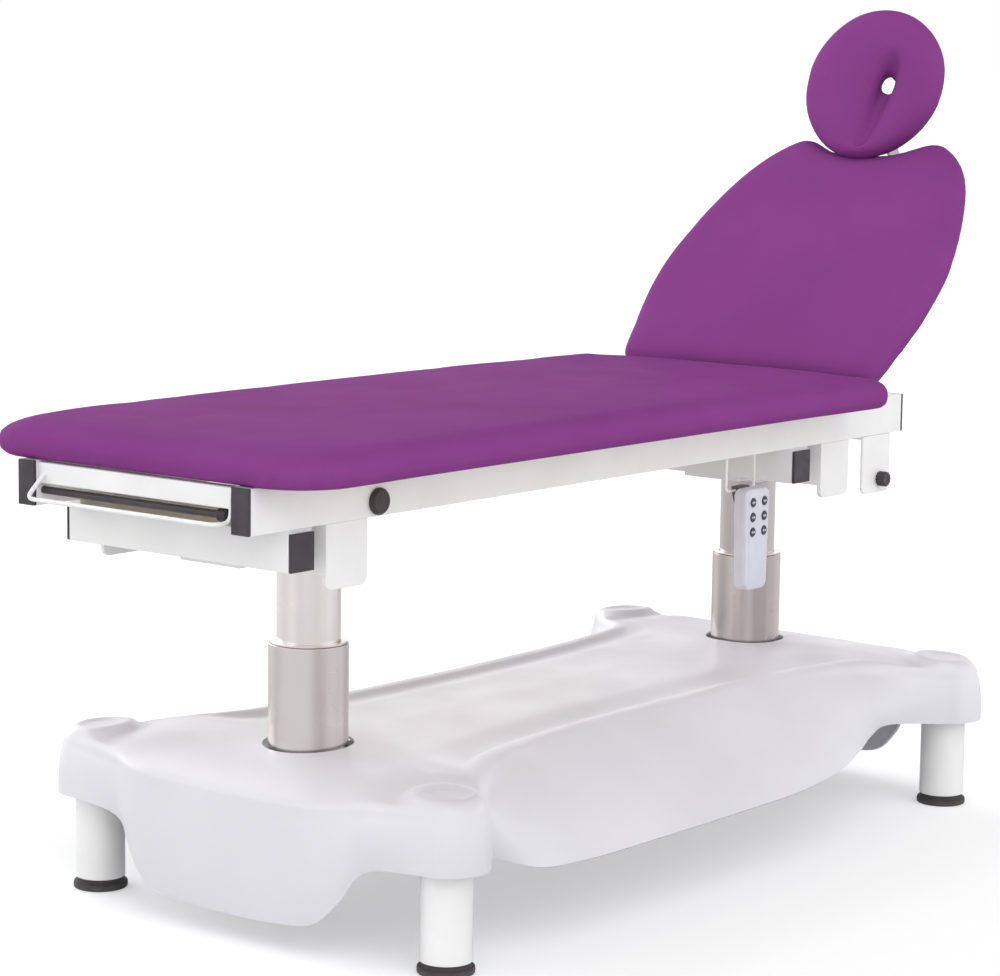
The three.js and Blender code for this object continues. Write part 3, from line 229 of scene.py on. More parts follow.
def lofted(name, rings, material, joined=False):
    """A closed mesh through rings of equal point counts; joined runs the last into the first."""
    count = len(rings[0])
    faces = []
    for r in range(len(rings) - (0 if joined else 1)):
        lower = r * count
        upper = (r + 1) % len(rings) * count
        for i in range(count):
            j = (i + 1) % count
            faces.append((lower + i, lower + j, upper + j, upper + i))
    mesh = bpy.data.meshes.new(name)
    mesh.from_pydata([tuple(point) for ring in rings for point in ring], [], faces)
    form = bmesh.new()
    form.from_mesh(mesh)
    bmesh.ops.remove_doubles(form, verts=form.verts, dist=1e-6)
    bmesh.ops.holes_fill(form, edges=form.edges, sides=0)
    bmesh.ops.recalc_face_normals(form, faces=form.faces)
    form.to_mesh(mesh)
    form.free()
    return show(name, mesh, material)


def round_ring(centre, radius, along, around, axis="z"):
    """A ring of points round a line through centre, at a distance along it."""
    ring = []
    for i in range(around):
        angle = 2 * math.pi * i / around
        u, v = radius * math.cos(angle), radius * math.sin(angle)
        ring.append(Vector(centre) + Vector((u, along, v) if axis == "y" else (u, v, along)))
    return ring


def turned(name, profile, centre, material, around=72, joined=False, axis="z"):
    """A piece turned about a line through centre, from (radius, distance along) pairs."""
    rings = [round_ring(centre, radius, along, around, axis) for radius, along in profile]
    return lofted(name, rings, material, joined)


def middle_of(name):
    low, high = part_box(name)
    return (low + high) / 2


rubber = foot_rubber()
for end in ends:
    for side in sides:
        stand = middle_of(f"foot_pad_{end}_{side}")
        profile = eased([
            (0, pad_hollow), (pad_radius - pad_hollow_edge, pad_hollow), (pad_radius - pad_tread, 0),
            (pad_radius, 0), (pad_radius, pad_height), (pad_collar_radius, pad_height),
            (pad_collar_radius, pad_collar_height), (pad_plug_radius, pad_collar_height),
            (pad_plug_radius, pad_plug_height), (0, pad_plug_height),
        ], pad_rounding)
        pad = turned(f"rubber_foot_{end}_{side}", profile, (stand.x, stand.y, 0), rubber)
        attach(pad, "base")
        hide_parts(f"foot_pad_{end}_{side}")


# Legs: four lengths of 70 mm steel tube with a white powder coat, standing on the rubber
# feet and running up into the moulded cover.
leg_radius = 35 * mm
leg_wall = 2.5 * mm
leg_rounding = 0.8 * mm


def white_enamel():
    """Powder coat: a faint orange peel, with scuffs that dull it here and there."""
    material, tree, shader, place = new_finish("white_enamel", shade(238, 238, 237), 0.35)
    mottle(tree, shader, place, shade(233, 233, 233), shade(240, 240, 239), 0.11)
    rub(tree, shader, place, 0.28, 0.42, 0.05)
    relief(tree, shader, cloudy(tree, place, 0.0025, 1), 0.00004)
    scuffs = cloudy(tree, stretched(tree, place, (1, 1, 5)), 0.02, 6)
    relief(tree, shader, risen(tree, scuffs, 0.66, 0.72, 0.0, 1.0), -0.00003)
    return material


enamel = white_enamel()
for end in ends:
    for side in sides:
        low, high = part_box(f"leg_{end}_{side}")
        stand = middle_of(f"leg_{end}_{side}")
        bore = leg_radius - leg_wall
        profile = eased([
            (bore, low.z + leg_wall), (bore, low.z), (leg_radius, low.z), (leg_radius, high.z),
            (bore, high.z), (bore, low.z + leg_wall),
        ], leg_rounding)
        leg = turned(f"leg_tube_{end}_{side}", profile[:-1], (stand.x, stand.y, 0), enamel, joined=True)
        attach(leg, "base")
        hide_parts(f"leg_{end}_{side}")


# Chassis: two folded cross channels between the legs and a wide spine channel that carries
# the columns, hidden under the cover. Folded sheet has small rounded edges.
fold_rounding = 1.2 * mm
joined_gap = 0.02 * mm
flat_turn = math.radians(0.5)
edge_turn = math.radians(38)


def dress(name, material, rounding, steps=2):
    """Gives a piece of the frame its finish and rounds its sharp edges."""
    piece = cad[name]
    piece.data.materials.clear()
    piece.data.materials.append(material)
    for face in piece.data.polygons:
        face.use_smooth = True
    weld = piece.modifiers.new("joined faces", "WELD")
    weld.merge_threshold = joined_gap
    flat = piece.modifiers.new("whole faces", "DECIMATE")
    flat.decimate_type = "DISSOLVE"
    flat.angle_limit = flat_turn
    edges = piece.modifiers.new("rounded edges", "BEVEL")
    edges.width = rounding
    edges.segments = steps
    edges.limit_method = "ANGLE"
    edges.angle_limit = edge_turn
    shade_evenly(piece)
    return piece


for name in ("chassis_beam_foot", "chassis_beam_head", "chassis_spine"):
    dress(name, enamel, fold_rounding)


# Lower columns: 111 mm stainless steel tubes standing in the spine on a welded flange. A steel
# guide ring closes each mouth, and a screw with a black washer clamps it.
outer_radius = 55.5 * mm
column_wall = 3 * mm
column_rounding = 0.8 * mm
flange_side = 190 * mm
flange_bottom = 200.3 * mm
flange_top = 208.3 * mm
flange_edge = 1 * mm
flange_sink = 0.5 * mm
flange_points = 96
column_sides = 128
guide_bore = 44.8 * mm
guide_lip = 54.3 * mm
guide_seat = 52.2 * mm
guide_gap = 0.3 * mm
guide_seam = 1 * mm
guide_rounding = 0.9 * mm
screw_height = 352 * mm
screw_turns = {"foot": 22, "head": -158}
screw_sides = 36
screw_rounding = 0.4 * mm
# Radius and height above the tube, for the screw's head with its socket and for its washer.
screw_shape = [(0, -1 * mm), (1.6 * mm, -1 * mm), (1.6 * mm, 1.4 * mm), (3.4 * mm, 1.5 * mm),
               (4 * mm, 0.8 * mm), (4 * mm, -1.5 * mm), (0, -1.5 * mm)]
washer_shape = [(0, -1.5 * mm), (0, 0.6 * mm), (4.7 * mm, 0.6 * mm), (5 * mm, 0.3 * mm),
                (5 * mm, -1.5 * mm)]


def steel_with_painted_reflections(name, dark, light):
    """Stainless tube: upright bands painted light and dark into its colour as painted reflections, very
    fine lines round it, and faint hand marks.
    """
    material, tree, shader, place = new_finish(name, light, 0.25, 1)
    # Painted reflections: soft upright light and dark stripes in the colour stand in for the surroundings
    # mirrored in the tube.
    painted_reflection_bands = cloudy(tree, stretched(tree, place, (1, 1, 0.02)), 0.03, 1)
    tinted(tree, shader, painted_reflection_bands, dark, light, 0.36, 0.6)
    rub(tree, shader, place, 0.23, 0.28, 0.06, 1)
    lines = cloudy(tree, stretched(tree, place, (1, 1, 60)), 0.12, 0)
    relief(tree, shader, lines, 0.0000004)
    return material


def square_flange(name, side, bottom, top, bore, centre, material):
    """A square plate with a round hole and slightly rounded edges."""
    def square(inset, height):
        ring = []
        for i in range(flange_points):
            angle = 2 * math.pi * i / flange_points
            reach = (side / 2 - inset) / max(abs(math.cos(angle)), abs(math.sin(angle)))
            ring.append(centre + Vector((reach * math.cos(angle), reach * math.sin(angle), height)))
        return ring

    rings = [round_ring(centre, bore, bottom, flange_points), square(flange_edge, bottom),
             square(0, bottom + flange_edge), square(0, top - flange_edge), square(flange_edge, top),
             round_ring(centre, bore, top, flange_points)]
    return lofted(name, rings, material, joined=True)


steel = steel_with_painted_reflections("column_steel", shade(198, 190, 188), shade(222, 215, 213))
# Painted shade: the head column stands in the shade under the top, so its tubes get a darker copy of the
# steel.
shaded_steel = steel_with_painted_reflections("shaded_column_steel", shade(178, 170, 169), shade(206, 198, 196))
lower_steel = {"foot": steel, "head": shaded_steel}
# Moulded black plastic with a fine spark-eroded texture.
black = plain_finish("dark_plastic", shade(54, 49, 53), 0.5,
                     (shade(48, 43, 47), shade(60, 55, 59), 0.03), (0.4, 0.6, 0.02),
                     (0.0008, 2, 0.00006))
for end in ends:
    low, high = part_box(f"column_outer_{end}")
    centre = Vector((middle_of(f"column_guide_{end}").x, 0, 0))
    bore = outer_radius - column_wall
    profile = eased([
        (0, low.z), (outer_radius, low.z), (outer_radius, high.z), (bore, high.z),
        (bore, low.z + column_wall), (0, low.z + column_wall),
    ], column_rounding)
    tube = turned(f"lower_column_{end}", profile, centre, lower_steel[end], column_sides)
    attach(tube, "base")
    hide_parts(f"column_outer_{end}")
    flange = square_flange(f"column_flange_{end}", flange_side, flange_bottom, flange_top,
                           outer_radius - flange_sink, centre, steel)
    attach(flange, "base")

    guide_low, guide_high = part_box(f"column_guide_{end}")
    lip = high.z + guide_gap
    seam = (guide_bore, guide_low.z + guide_seam)
    profile = eased([
        seam, (guide_bore, guide_low.z), (guide_seat, guide_low.z), (guide_seat, lip),
        (guide_lip, lip), (guide_lip, guide_high.z), (guide_bore, guide_high.z), seam,
    ], guide_rounding)
    guide = turned(f"guide_ring_{end}", profile[:-1], centre, steel, column_sides, joined=True)
    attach(guide, "base")
    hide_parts(f"column_guide_{end}")

    facing = math.radians(screw_turns[end])
    across = Vector((math.cos(facing), math.sin(facing), 0))
    screw_place = centre + across * outer_radius + Vector((0, 0, screw_height))
    stood = Matrix.Translation(screw_place) @ across.to_track_quat("Z", "Y").to_matrix().to_4x4()
    for name, shape, finish, slot in (
            ("guide_screw", eased(screw_shape, screw_rounding), steel, "column_steel"),
            ("guide_screw_washer", washer_shape, black, "dark_plastic")):
        piece = turned(f"{name}_{end}", shape, (0, 0, 0), finish, screw_sides)
        piece.data.transform(stood)
        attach(piece, "base")


# Lift motors: a cast motor housing with its screw stands inside each lower column and
# drives the upper tube.
casting_rounding = 2 * mm

casting = plain_finish("cast_housing", shade(119, 121, 124), 0.5,
                       (shade(108, 110, 113), shade(128, 130, 133), 0.02), (0.4, 0.62, 0.015),
                       (0.0018, 3, 0.0001), 0.3)
for end in ends:
    dress(f"lift_motor_{end}", casting, casting_rounding)


# Base cover: one sheet of pale grey plastic, moulded over the chassis. It swells into a
# block over each leg and into a long panel on each side, and dips to an apron at the ends.
cover_wall = 4 * mm
deck_height = 242 * mm
deck_crown = 4 * mm
end_height = 210 * mm
end_reach = 92 * mm
side_reach = 66 * mm
side_crest_inset = 92 * mm
apron_height = 36 * mm
side_edge_height = 118 * mm
lobe_radius = 59 * mm
lobe_draft = 9 * mm
lobe_top = 230 * mm
lobe_edge_height = 140 * mm
cover_fillet = 19 * mm
end_fillet = 9 * mm
lobe_bulge = 3 * mm
end_bulge = 6 * mm
side_bulge = 15 * mm
fullest_share = 0.45
deck_power = 4
ridge_half = 500 * mm
column_gap = 8 * mm
around_cover = 380
lobe_first_turn = 175
lobe_turn_step = 31
lobe_turns = 6
lobe_rise = 5 * mm
lobe_rise_edge = (42 * mm, 60 * mm)
lobe_groove = 5 * mm
lobe_groove_middle = 68 * mm
lobe_groove_edges = (44 * mm, 120 * mm)
lobe_dish_depth = 3.5 * mm
lobe_dish_edge = (22 * mm, 34 * mm)
valley_depth = 9 * mm
valley_end = (430 * mm, 520 * mm)
valley_inside = (0.55, 0.82)
valley_outside = (0.84, 0.95)
end_fillet_run = 30 * mm
end_fillet_span = (0.55, 0.85)
turn_steps = 8
skirt_steps = 12
rim_corners = 40
hole_bottom = 200 * mm
hole_top = 260 * mm

lobe_x = (middle_of("leg_head_near").x - middle_of("leg_foot_near").x) / 2
lobe_y = -middle_of("leg_foot_near").y
cover_middle = (middle_of("leg_head_near").x + middle_of("leg_foot_near").x) / 2

# Shares of the way out over the deck: wide steps in its middle, narrow ones near its crest.
deck_shares = [i / 12 for i in range(9)] + [0.7 + 0.015 * i for i in range(21)]
# Shares of the half leg spacing across, of the end's reach at the edge, of the edge's climb,
# of the end's reach at the crest, and of the crest's climb.
end_shares = [
    (0, 0.86, 0, 1, 0),
    (0.25, 0.86, 0.02, 1, 0.02),
    (0.48, 0.82, 0.12, 0.96, 0.1),
    (0.6, 0.73, 0.45, 0.86, 0.25),
    (0.7, 0.63, 0.86, 0.74, 0.55),
]
# Shares of the half leg spacing along, of the side's reach, of the edge's rise, of the
# crest's inset, and of the crest's climb.
side_shares = [
    (-0.87, 0.2, 0.9, 0.1, 0.2),
    (-0.8, 0.8, 0.3, 0.5, 0.6),
    (-0.66, 0.96, 0.05, 1, 0.95),
    (-0.4, 1, 0, 1.25, 1),
    (-0.1, 1, 0, 1.35, 1),
    (0.2, 0.94, 0.04, 1.35, 1),
    (0.4, 0.7, 0.3, 1.3, 1),
    (0.55, 0.3, 0.7, 1.2, 0.98),
    (0.68, -0.15, 1.0, 1.05, 0.9),
    (0.8, -0.4, 1.1, 0.75, 0.6),
]


def station(edge, crest, outward, bulge):
    """The skirt's edge, the crest above it, and the fullest point between them."""
    edge, crest, outward = Vector(edge), Vector(crest), Vector(outward)
    return edge, crest, edge.lerp(crest, fullest_share) + outward * bulge


def end_stations(sx):
    return [station(
        (sx * (lobe_x + end_reach * edge_reach), -lobe_y * across,
         apron_height + (lobe_edge_height - apron_height) * edge_climb),
        (sx * (lobe_x + end_reach * crest_reach), -lobe_y * across,
         end_height + (lobe_top - end_height) * crest_climb),
        (sx, 0, 0), end_bulge,
    ) for across, edge_reach, edge_climb, crest_reach, crest_climb in end_shares]


def lobe_stations(sx):
    stations = []
    for i in range(lobe_turns):
        angle = math.radians(lobe_first_turn + lobe_turn_step * i)
        direction = Vector((-sx * math.cos(angle), math.sin(angle), 0))
        centre = Vector((sx * lobe_x, -lobe_y, 0))
        edge = centre + direction * lobe_radius
        crest = centre + direction * (lobe_radius - lobe_draft)
        edge.z = lobe_edge_height
        crest.z = lobe_top
        stations.append(station(edge, crest, direction, lobe_bulge))
    return stations if sx < 0 else stations[::-1]


def side_stations():
    return [station(
        (lobe_x * along, -lobe_y - side_reach * edge_reach,
         side_edge_height + (lobe_edge_height - side_edge_height) * edge_rise),
        (lobe_x * along, -lobe_y + side_crest_inset * crest_inset,
         lobe_top + (deck_height - lobe_top) * crest_climb),
        (0, -1, 0), side_bulge,
    ) for along, edge_reach, edge_rise, crest_inset, crest_climb in side_shares]


def smooth_loop(points, samples):
    """A closed smooth curve through the points, evenly stepped from point to point."""
    count = len(points)
    curve = []
    for s in range(samples):
        at = s * count / samples
        i = int(at)
        p = [points[(i + k - 1) % count] for k in range(4)]
        spans = [max((p[k + 1] - p[k]).length, 1e-6) ** 0.5 for k in range(3)]
        steps = [(p[k + 1] - p[k]) / spans[k] for k in range(3)]
        t0 = (steps[0] - (p[2] - p[0]) / (spans[0] + spans[1]) + steps[1]) * spans[1]
        t1 = (steps[1] - (p[3] - p[1]) / (spans[1] + spans[2]) + steps[2]) * spans[1]
        u = at - i
        curve.append(p[1] * (2 * u ** 3 - 3 * u * u + 1) + t0 * (u ** 3 - 2 * u * u + u)
                     + p[2] * (3 * u * u - 2 * u ** 3) + t1 * (u ** 3 - u * u))
    return curve


def step_smoothly(value, low, high):
    share = min(max((value - low) / (high - low), 0), 1)
    return share * share * (3 - 2 * share)


def cover_rings():
    """Rings of the cover's outside, from the middle of the deck to the skirt's edge."""
    near = end_stations(-1) + lobe_stations(-1) + side_stations()
    near += lobe_stations(1) + end_stations(1)[::-1]
    far = [tuple(Vector((p.x, -p.y, p.z)) for p in points) for points in near[1:-1][::-1]]
    stations = near + far
    edge, crest, fullest = (smooth_loop([points[k] for points in stations], around_cover) for k in range(3))

    def deck_point(point, share):
        ridge = min(max(point.x, -ridge_half), ridge_half)
        x = ridge + (point.x - ridge) * share
        y = point.y * share
        z = deck_height + (point.z - deck_height) * share ** deck_power
        z += deck_crown * (1 - share) ** 2
        inside = 1 - step_smoothly(abs(point.x), *valley_end)
        valley = step_smoothly(share, *valley_inside) * (1 - step_smoothly(share, *valley_outside))
        z -= valley_depth * inside * valley
        leg = Vector((math.copysign(lobe_x, x), math.copysign(lobe_y, y), 0))
        reach = (Vector((x, y, 0)) - leg).length
        z += lobe_rise * (1 - step_smoothly(reach, *lobe_rise_edge))
        z -= (lobe_groove * step_smoothly(reach, lobe_groove_edges[0], lobe_groove_middle)
              * (1 - step_smoothly(reach, lobe_groove_middle, lobe_groove_edges[1])))
        z -= lobe_dish_depth * (1 - step_smoothly(reach, *lobe_dish_edge))
        return Vector((x, y, z))

    def fillet_at(point):
        past = step_smoothly(abs(point.x), lobe_x, lobe_x + end_fillet_run)
        between = 1 - step_smoothly(abs(point.y), *(lobe_y * share for share in end_fillet_span))
        return cover_fillet + (end_fillet - cover_fillet) * past * between

    def inner_share(point):
        ridge = min(max(point.x, -ridge_half), ridge_half)
        return 1 - fillet_at(point) / Vector((point.x - ridge, point.y)).length

    limits = [inner_share(point) for point in crest]
    kept = [[deck_point(point, share * limit) for point, limit in zip(crest, limits)]
            for share in deck_shares]
    turn_in = kept[-1]
    turn_down = [top + (low - top).normalized() * fillet_at(top) for top, low in zip(crest, edge)]
    for k in range(1, turn_steps + 1):
        t = k / turn_steps
        kept.append([a * (1 - t) ** 2 + b * 2 * t * (1 - t) + c * t * t
                     for a, b, c in zip(turn_in, crest, turn_down)])
    for k in range(1, skirt_steps + 1):
        t = k / skirt_steps
        kept.append([a * (1 - t) * (1 - 2 * t) + b * 4 * t * (1 - t) + c * t * (2 * t - 1)
                     for a, b, c in zip(turn_down, fullest, edge)])
    return kept


def cover_plastic():
    """Satin plastic: nearly even in colour, with hair scratches and faint flow marks."""
    material, tree, shader, place = new_finish("cover_plastic", shade(221, 220, 225), 0.38)
    mottle(tree, shader, place, shade(216, 215, 220), shade(222, 221, 226), 0.22)
    rub(tree, shader, place, 0.3, 0.46, 0.07, 6)
    relief(tree, shader, cloudy(tree, place, 0.0011, 2), 0.00003)
    relief(tree, shader, cloudy(tree, place, 0.12, 1), 0.0006)
    return material


def worked(piece, cutters=()):
    """The piece with its modifiers worked into its mesh, and the cutting tools put away."""
    bpy.context.view_layer.update()
    drawn = bpy.context.evaluated_depsgraph_get()
    mesh = bpy.data.meshes.new_from_object(piece.evaluated_get(drawn))
    piece.modifiers.clear()
    piece.data = mesh
    if cutters:
        if mesh.attributes.get("custom_normal"):
            mesh.attributes.remove(mesh.attributes["custom_normal"])
        mesh.shade_smooth()
        mesh.set_sharp_from_angle(angle=crisp_turn)
    for cutter in cutters:
        bpy.data.objects.remove(cutter)
    return piece


def cut_from(piece, cutter, name):
    """Takes the shape of a cutting tool out of a piece."""
    opening = piece.modifiers.new(name, "BOOLEAN")
    opening.object = cutter
    opening.solver = "EXACT"


cover = lofted("moulded_cover", cover_rings(), cover_plastic())
cover.data.transform(Matrix.Translation((cover_middle, 0, 0)))
form = bmesh.new()
form.from_mesh(cover.data)
skirt = [face for face in form.faces if len(face.verts) > rim_corners]
bmesh.ops.delete(form, geom=skirt, context="FACES_ONLY")
form.to_mesh(cover.data)
form.free()
wall = cover.modifiers.new("wall", "SOLIDIFY")
wall.thickness = cover_wall
wall.offset = -1
wall.use_even_offset = True
cover.modifiers.move(1, 0)
hole_radius = outer_radius + column_gap
hole_shape = [(0, hole_bottom), (hole_radius, hole_bottom), (hole_radius, hole_top), (0, hole_top)]
cutters = []
for end in ends:
    centre = Vector((middle_of(f"column_guide_{end}").x, 0, 0))
    cutters.append(turned(f"hole_{end}", hole_shape, centre, black, column_sides))
    cut_from(cover, cutters[-1], "hole")
    cover.modifiers.move(len(cover.modifiers) - 1, 1)
worked(cover, cutters)
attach(cover, "base")
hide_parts("base_cover")


# Upper columns: 89 mm brushed tubes that slide in the guide rings, each with a square
# flange welded on top to bolt to its bracket.
inner_radius = 44.4 * mm
inner_flange_side = 104 * mm
inner_flange_thickness = 8 * mm

# Painted light: the foot column's upper tube gets a lighter copy of the steel, as if more brightly lit.
lit_steel = steel_with_painted_reflections("lit_column_steel", shade(224, 218, 215), shade(244, 238, 235))
upper_steel = {"foot": lit_steel, "head": shaded_steel}
for end in ends:
    low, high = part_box(f"column_inner_{end}")
    centre = Vector((middle_of(f"column_guide_{end}").x, 0, 0))
    bore = inner_radius - column_wall
    tube_top = high.z - inner_flange_thickness / 2
    profile = eased([
        (0, tube_top - column_wall), (bore, tube_top - column_wall), (bore, low.z),
        (inner_radius, low.z), (inner_radius, tube_top), (0, tube_top),
    ], column_rounding)
    tube = turned(f"upper_column_{end}", profile, centre, upper_steel[end], column_sides)
    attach(tube, "top_frame")
    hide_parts(f"column_inner_{end}")
    flange = square_flange(f"upper_flange_{end}", inner_flange_side, high.z - inner_flange_thickness,
                           high.z, inner_radius - flange_sink, centre, steel)
    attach(flange, "top_frame")


# Top frame: welded steel in the same white powder coat. Folded brackets sit on the columns,
# square tubes cross under the rails, and two 60 by 30 mm rails carry the cushions.
sheet_rounding = 1.4 * mm
rail_rounding = 2.2 * mm
cap_rounding = 1.6 * mm
fine_steps = 3

for end in ends:
    dress(f"head_bracket_{end}", enamel, sheet_rounding)
    dress(f"cross_tube_{end}", enamel, sheet_rounding)
    for side in sides:
        dress(f"cross_tube_cap_{end}_{side}", black, cap_rounding, fine_steps)
        dress(f"rail_cap_{end}_{side}", black, cap_rounding, fine_steps)
for side in sides:
    dress(f"side_rail_{side}", enamel, rail_rounding, fine_steps)


# Rail plugs: round black plugs pressed into a hole in the outer face of each rail, domed at
# the rim.
plug_rim = 18 * mm
plug_face = 15.4 * mm
plug_height = 8 * mm
plug_rim_share = 0.55
plug_dish_rim = 0.78
plug_dish_floor = 0.74
plug_dish_depth = 0.7 * mm
plug_rounding = 1.2 * mm

for side, sy in sides.items():
    low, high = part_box(f"rail_plug_{side}")
    at = middle_of(f"rail_plug_{side}")
    root = low.y if sy > 0 else high.y
    dish = plug_height - plug_dish_depth
    profile = eased([
        (0, 0), (plug_rim, 0), (plug_rim, plug_height * plug_rim_share), (plug_face, plug_height),
        (plug_face * plug_dish_rim, plug_height), (plug_face * plug_dish_floor, dish), (0, dish),
    ], plug_rounding)
    profile = [(radius, root + sy * along) for radius, along in profile]
    plug = turned(f"round_plug_{side}", profile, (at.x, 0, at.z), black, axis="y")
    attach(plug, "top_frame")
    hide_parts(f"rail_plug_{side}")


# Foot bar: a square tube between the rails at the foot end, with a bent white wire welded
# under it that keeps the paper sheet close to the cushion.
bar_depth = 20 * mm
bar_height = 28 * mm
bar_rounding = 2.4 * mm
tube_sheet = 2 * mm
tube_lip = 0.4 * mm
tube_inner_corner = 0.2 * mm
tube_corner_steps = 4
guide_wire = 3 * mm
guide_reach = 32 * mm
guide_drop = 30 * mm
guide_inset = 12 * mm
guide_sink = 1 * mm
guide_bend = 14 * mm
wire_sides = 16
wire_bend_steps = 8
wire_step = 0.01 * mm
wire_end_turns = (88, 60, 30)


def wire(name, corners, bend, radius, material):
    """A round wire bent at each corner, with rounded ends."""
    line = eased(corners, bend, wire_bend_steps)
    spaced = [line[0]]
    for point in line[1:]:
        if (point - spaced[-1]).length > wire_step:
            spaced.append(point)
    rings = []
    side_way = None
    for i, point in enumerate(spaced):
        ahead = (spaced[min(i + 1, len(spaced) - 1)] - spaced[max(i - 1, 0)]).normalized()
        if side_way is None:
            side_way = ahead.orthogonal().normalized()
        side_way = (side_way - ahead * side_way.dot(ahead)).normalized()
        other_way = ahead.cross(side_way)
        ring = [point + (side_way * math.cos(turn) + other_way * math.sin(turn)) * radius
                for turn in (2 * math.pi * k / wire_sides for k in range(wire_sides))]
        if i in (0, len(spaced) - 1):
            out = -ahead if i == 0 else ahead
            dome = [[point + out * radius * math.sin(turn) + (p - point) * math.cos(turn) for p in ring]
                    for turn in (math.radians(degrees) for degrees in wire_end_turns)]
            rings += dome + [ring] if i == 0 else [ring] + dome[::-1]
        else:
            rings.append(ring)
    return lofted(name, rings, material)


def tube_between(name, low, high, sheet, rounding, material, axis):
    """A rectangular tube with rounded corners, open at both ends."""
    def section(inset, radius, along):
        half = [(high[k] - low[k]) / 2 - inset for k in range(3) if k != axis]
        centre = [(high[k] + low[k]) / 2 for k in range(3) if k != axis]
        ring = []
        for turn, (su, sv) in enumerate(((1, 1), (-1, 1), (-1, -1), (1, -1))):
            for i in range(tube_corner_steps + 1):
                angle = math.pi / 2 * (turn + i / tube_corner_steps)
                u = centre[0] + su * (half[0] - radius) + radius * math.cos(angle)
                v = centre[1] + sv * (half[1] - radius) + radius * math.sin(angle)
                point = [u, v]
                point.insert(axis, along)
                ring.append(Vector(point))
        return ring

    rows = [(sheet, max(rounding - sheet, tube_inner_corner), tube_lip),
            (sheet - tube_lip, rounding - tube_lip, 0), (tube_lip, rounding - tube_lip, 0),
            (0, rounding, tube_lip)]
    rings = [section(inset, radius, low[axis] + back) for inset, radius, back in rows]
    rings += [section(inset, radius, high[axis] - back) for inset, radius, back in rows[::-1]]
    return lofted(name, rings, material, joined=True)


low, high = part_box("foot_cross_bar")
bar_low = Vector((high.x - bar_depth, low.y, high.z - bar_height))
bar = tube_between("foot_bar", bar_low, high, tube_sheet, bar_rounding, enamel, 1)
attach(bar, "top_frame")
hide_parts("foot_cross_bar")
root_z = (bar_low.z + high.z) / 2
weld_x = bar_low.x - guide_wire + guide_sink
near_y = low.y + guide_wire + guide_sink
far_y = high.y - guide_inset
outer_x = bar_low.x - guide_reach
hung_z = root_z - guide_drop
paper_guide = wire("paper_guide_wire", [
    (weld_x, near_y, root_z), (weld_x, near_y, hung_z), (outer_x, near_y, hung_z),
    (outer_x, far_y, hung_z), (bar_low.x + tube_sheet / 2, far_y, root_z),
], guide_bend, guide_wire, enamel)
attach(paper_guide, "top_frame")


# Paper rod: a black rod turning between the rails for the roll of paper, with a ribbed
# collar near one end.
rod_radius = 5 * mm
rod_collar_radius = 9 * mm
rod_collar_start = 18.3 * mm
rod_collar_length = 16 * mm
rod_collar_ribs = 5
rod_rib_depth = 1 * mm
rod_rib_start = 0.2 * mm
rod_rib_width = 0.14
rod_groove = (0.15, 0.19)
rod_rounding = 0.5 * mm
rod_sides = 40

low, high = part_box("paper_rod")
at = middle_of("paper_rod")
start = low.y + rod_collar_start
corners = [(0, low.y), (rod_radius, low.y), (rod_radius, start)]
for rib in range(rod_collar_ribs):
    along = start + rod_collar_length * rib / rod_collar_ribs
    corners += [(rod_collar_radius, along + rod_rib_start),
                (rod_collar_radius, along + rod_collar_length * rod_rib_width)]
    corners += [(rod_collar_radius - rod_rib_depth, along + rod_collar_length * share)
                for share in rod_groove]
corners += [(rod_radius, start + rod_collar_length), (rod_radius, high.y), (0, high.y)]
paper_rod = turned("paper_rod_bar", eased(corners, rod_rounding, 2), (at.x, 0, at.z), black, rod_sides,
                   axis="y")
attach(paper_rod, "paper_rod")
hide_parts("paper_rod")


# Clamp: a folded plate under the near rail holds an accessory socket, closed by a black
# knob with twelve ribs.
knob_radius = 12 * mm
knob_rib = 1.4 * mm
knob_ribs = 12
knob_height = 15 * mm
knob_shaft = 4 * mm
knob_shaft_chamfer = 0.6 * mm
knob_sides = knob_ribs * 12
knob_rib_fullness = 0.6
# Shares of the knob's radius, and depths behind its face: its dished middle, then its grip.
knob_dish = [(0.05, 0.9 * mm), (0.6, 0.8 * mm), (0.66, 0.1 * mm), (0.78, 0)]
knob_grip = [(0.93, 0.5 * mm), (0.99, 1.6 * mm), (1, 3 * mm), (1, knob_height - 1 * mm),
             (0.96, knob_height)]

dress("clamp_bracket", enamel, sheet_rounding)
low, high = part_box("clamp_knob")
at = middle_of("clamp_knob")
knob_line = (at.x, 0, at.z)


def knob_ring(scale, along):
    """A ring round the grip, with its twelve ribs."""
    ring = []
    for i in range(knob_sides):
        angle = 2 * math.pi * i / knob_sides
        wave = 0.5 + 0.5 * math.cos(knob_ribs * angle)
        radius = (knob_radius - knob_rib * (1 - wave ** knob_rib_fullness)) * scale
        ring.append(Vector((at.x + radius * math.cos(angle), along, at.z + radius * math.sin(angle))))
    return ring


knob_tail = [(1, low.y + knob_height), (1, high.y - knob_shaft_chamfer), (0.8, high.y), (0.02, high.y)]
rings = [round_ring(knob_line, knob_radius * share, low.y + depth, knob_sides, "y")
         for share, depth in knob_dish]
rings += [knob_ring(share, low.y + depth) for share, depth in knob_grip]
rings += [round_ring(knob_line, knob_shaft * share, along, knob_sides, "y") for share, along in knob_tail]
knob = lofted("ribbed_knob", rings, black)
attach(knob, "clamp_knob")
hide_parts("clamp_knob")


# Boards: birch plywood, let into the underside of the seat and of the backrest and screwed
# to the frame.
board_rounding = 0.6 * mm


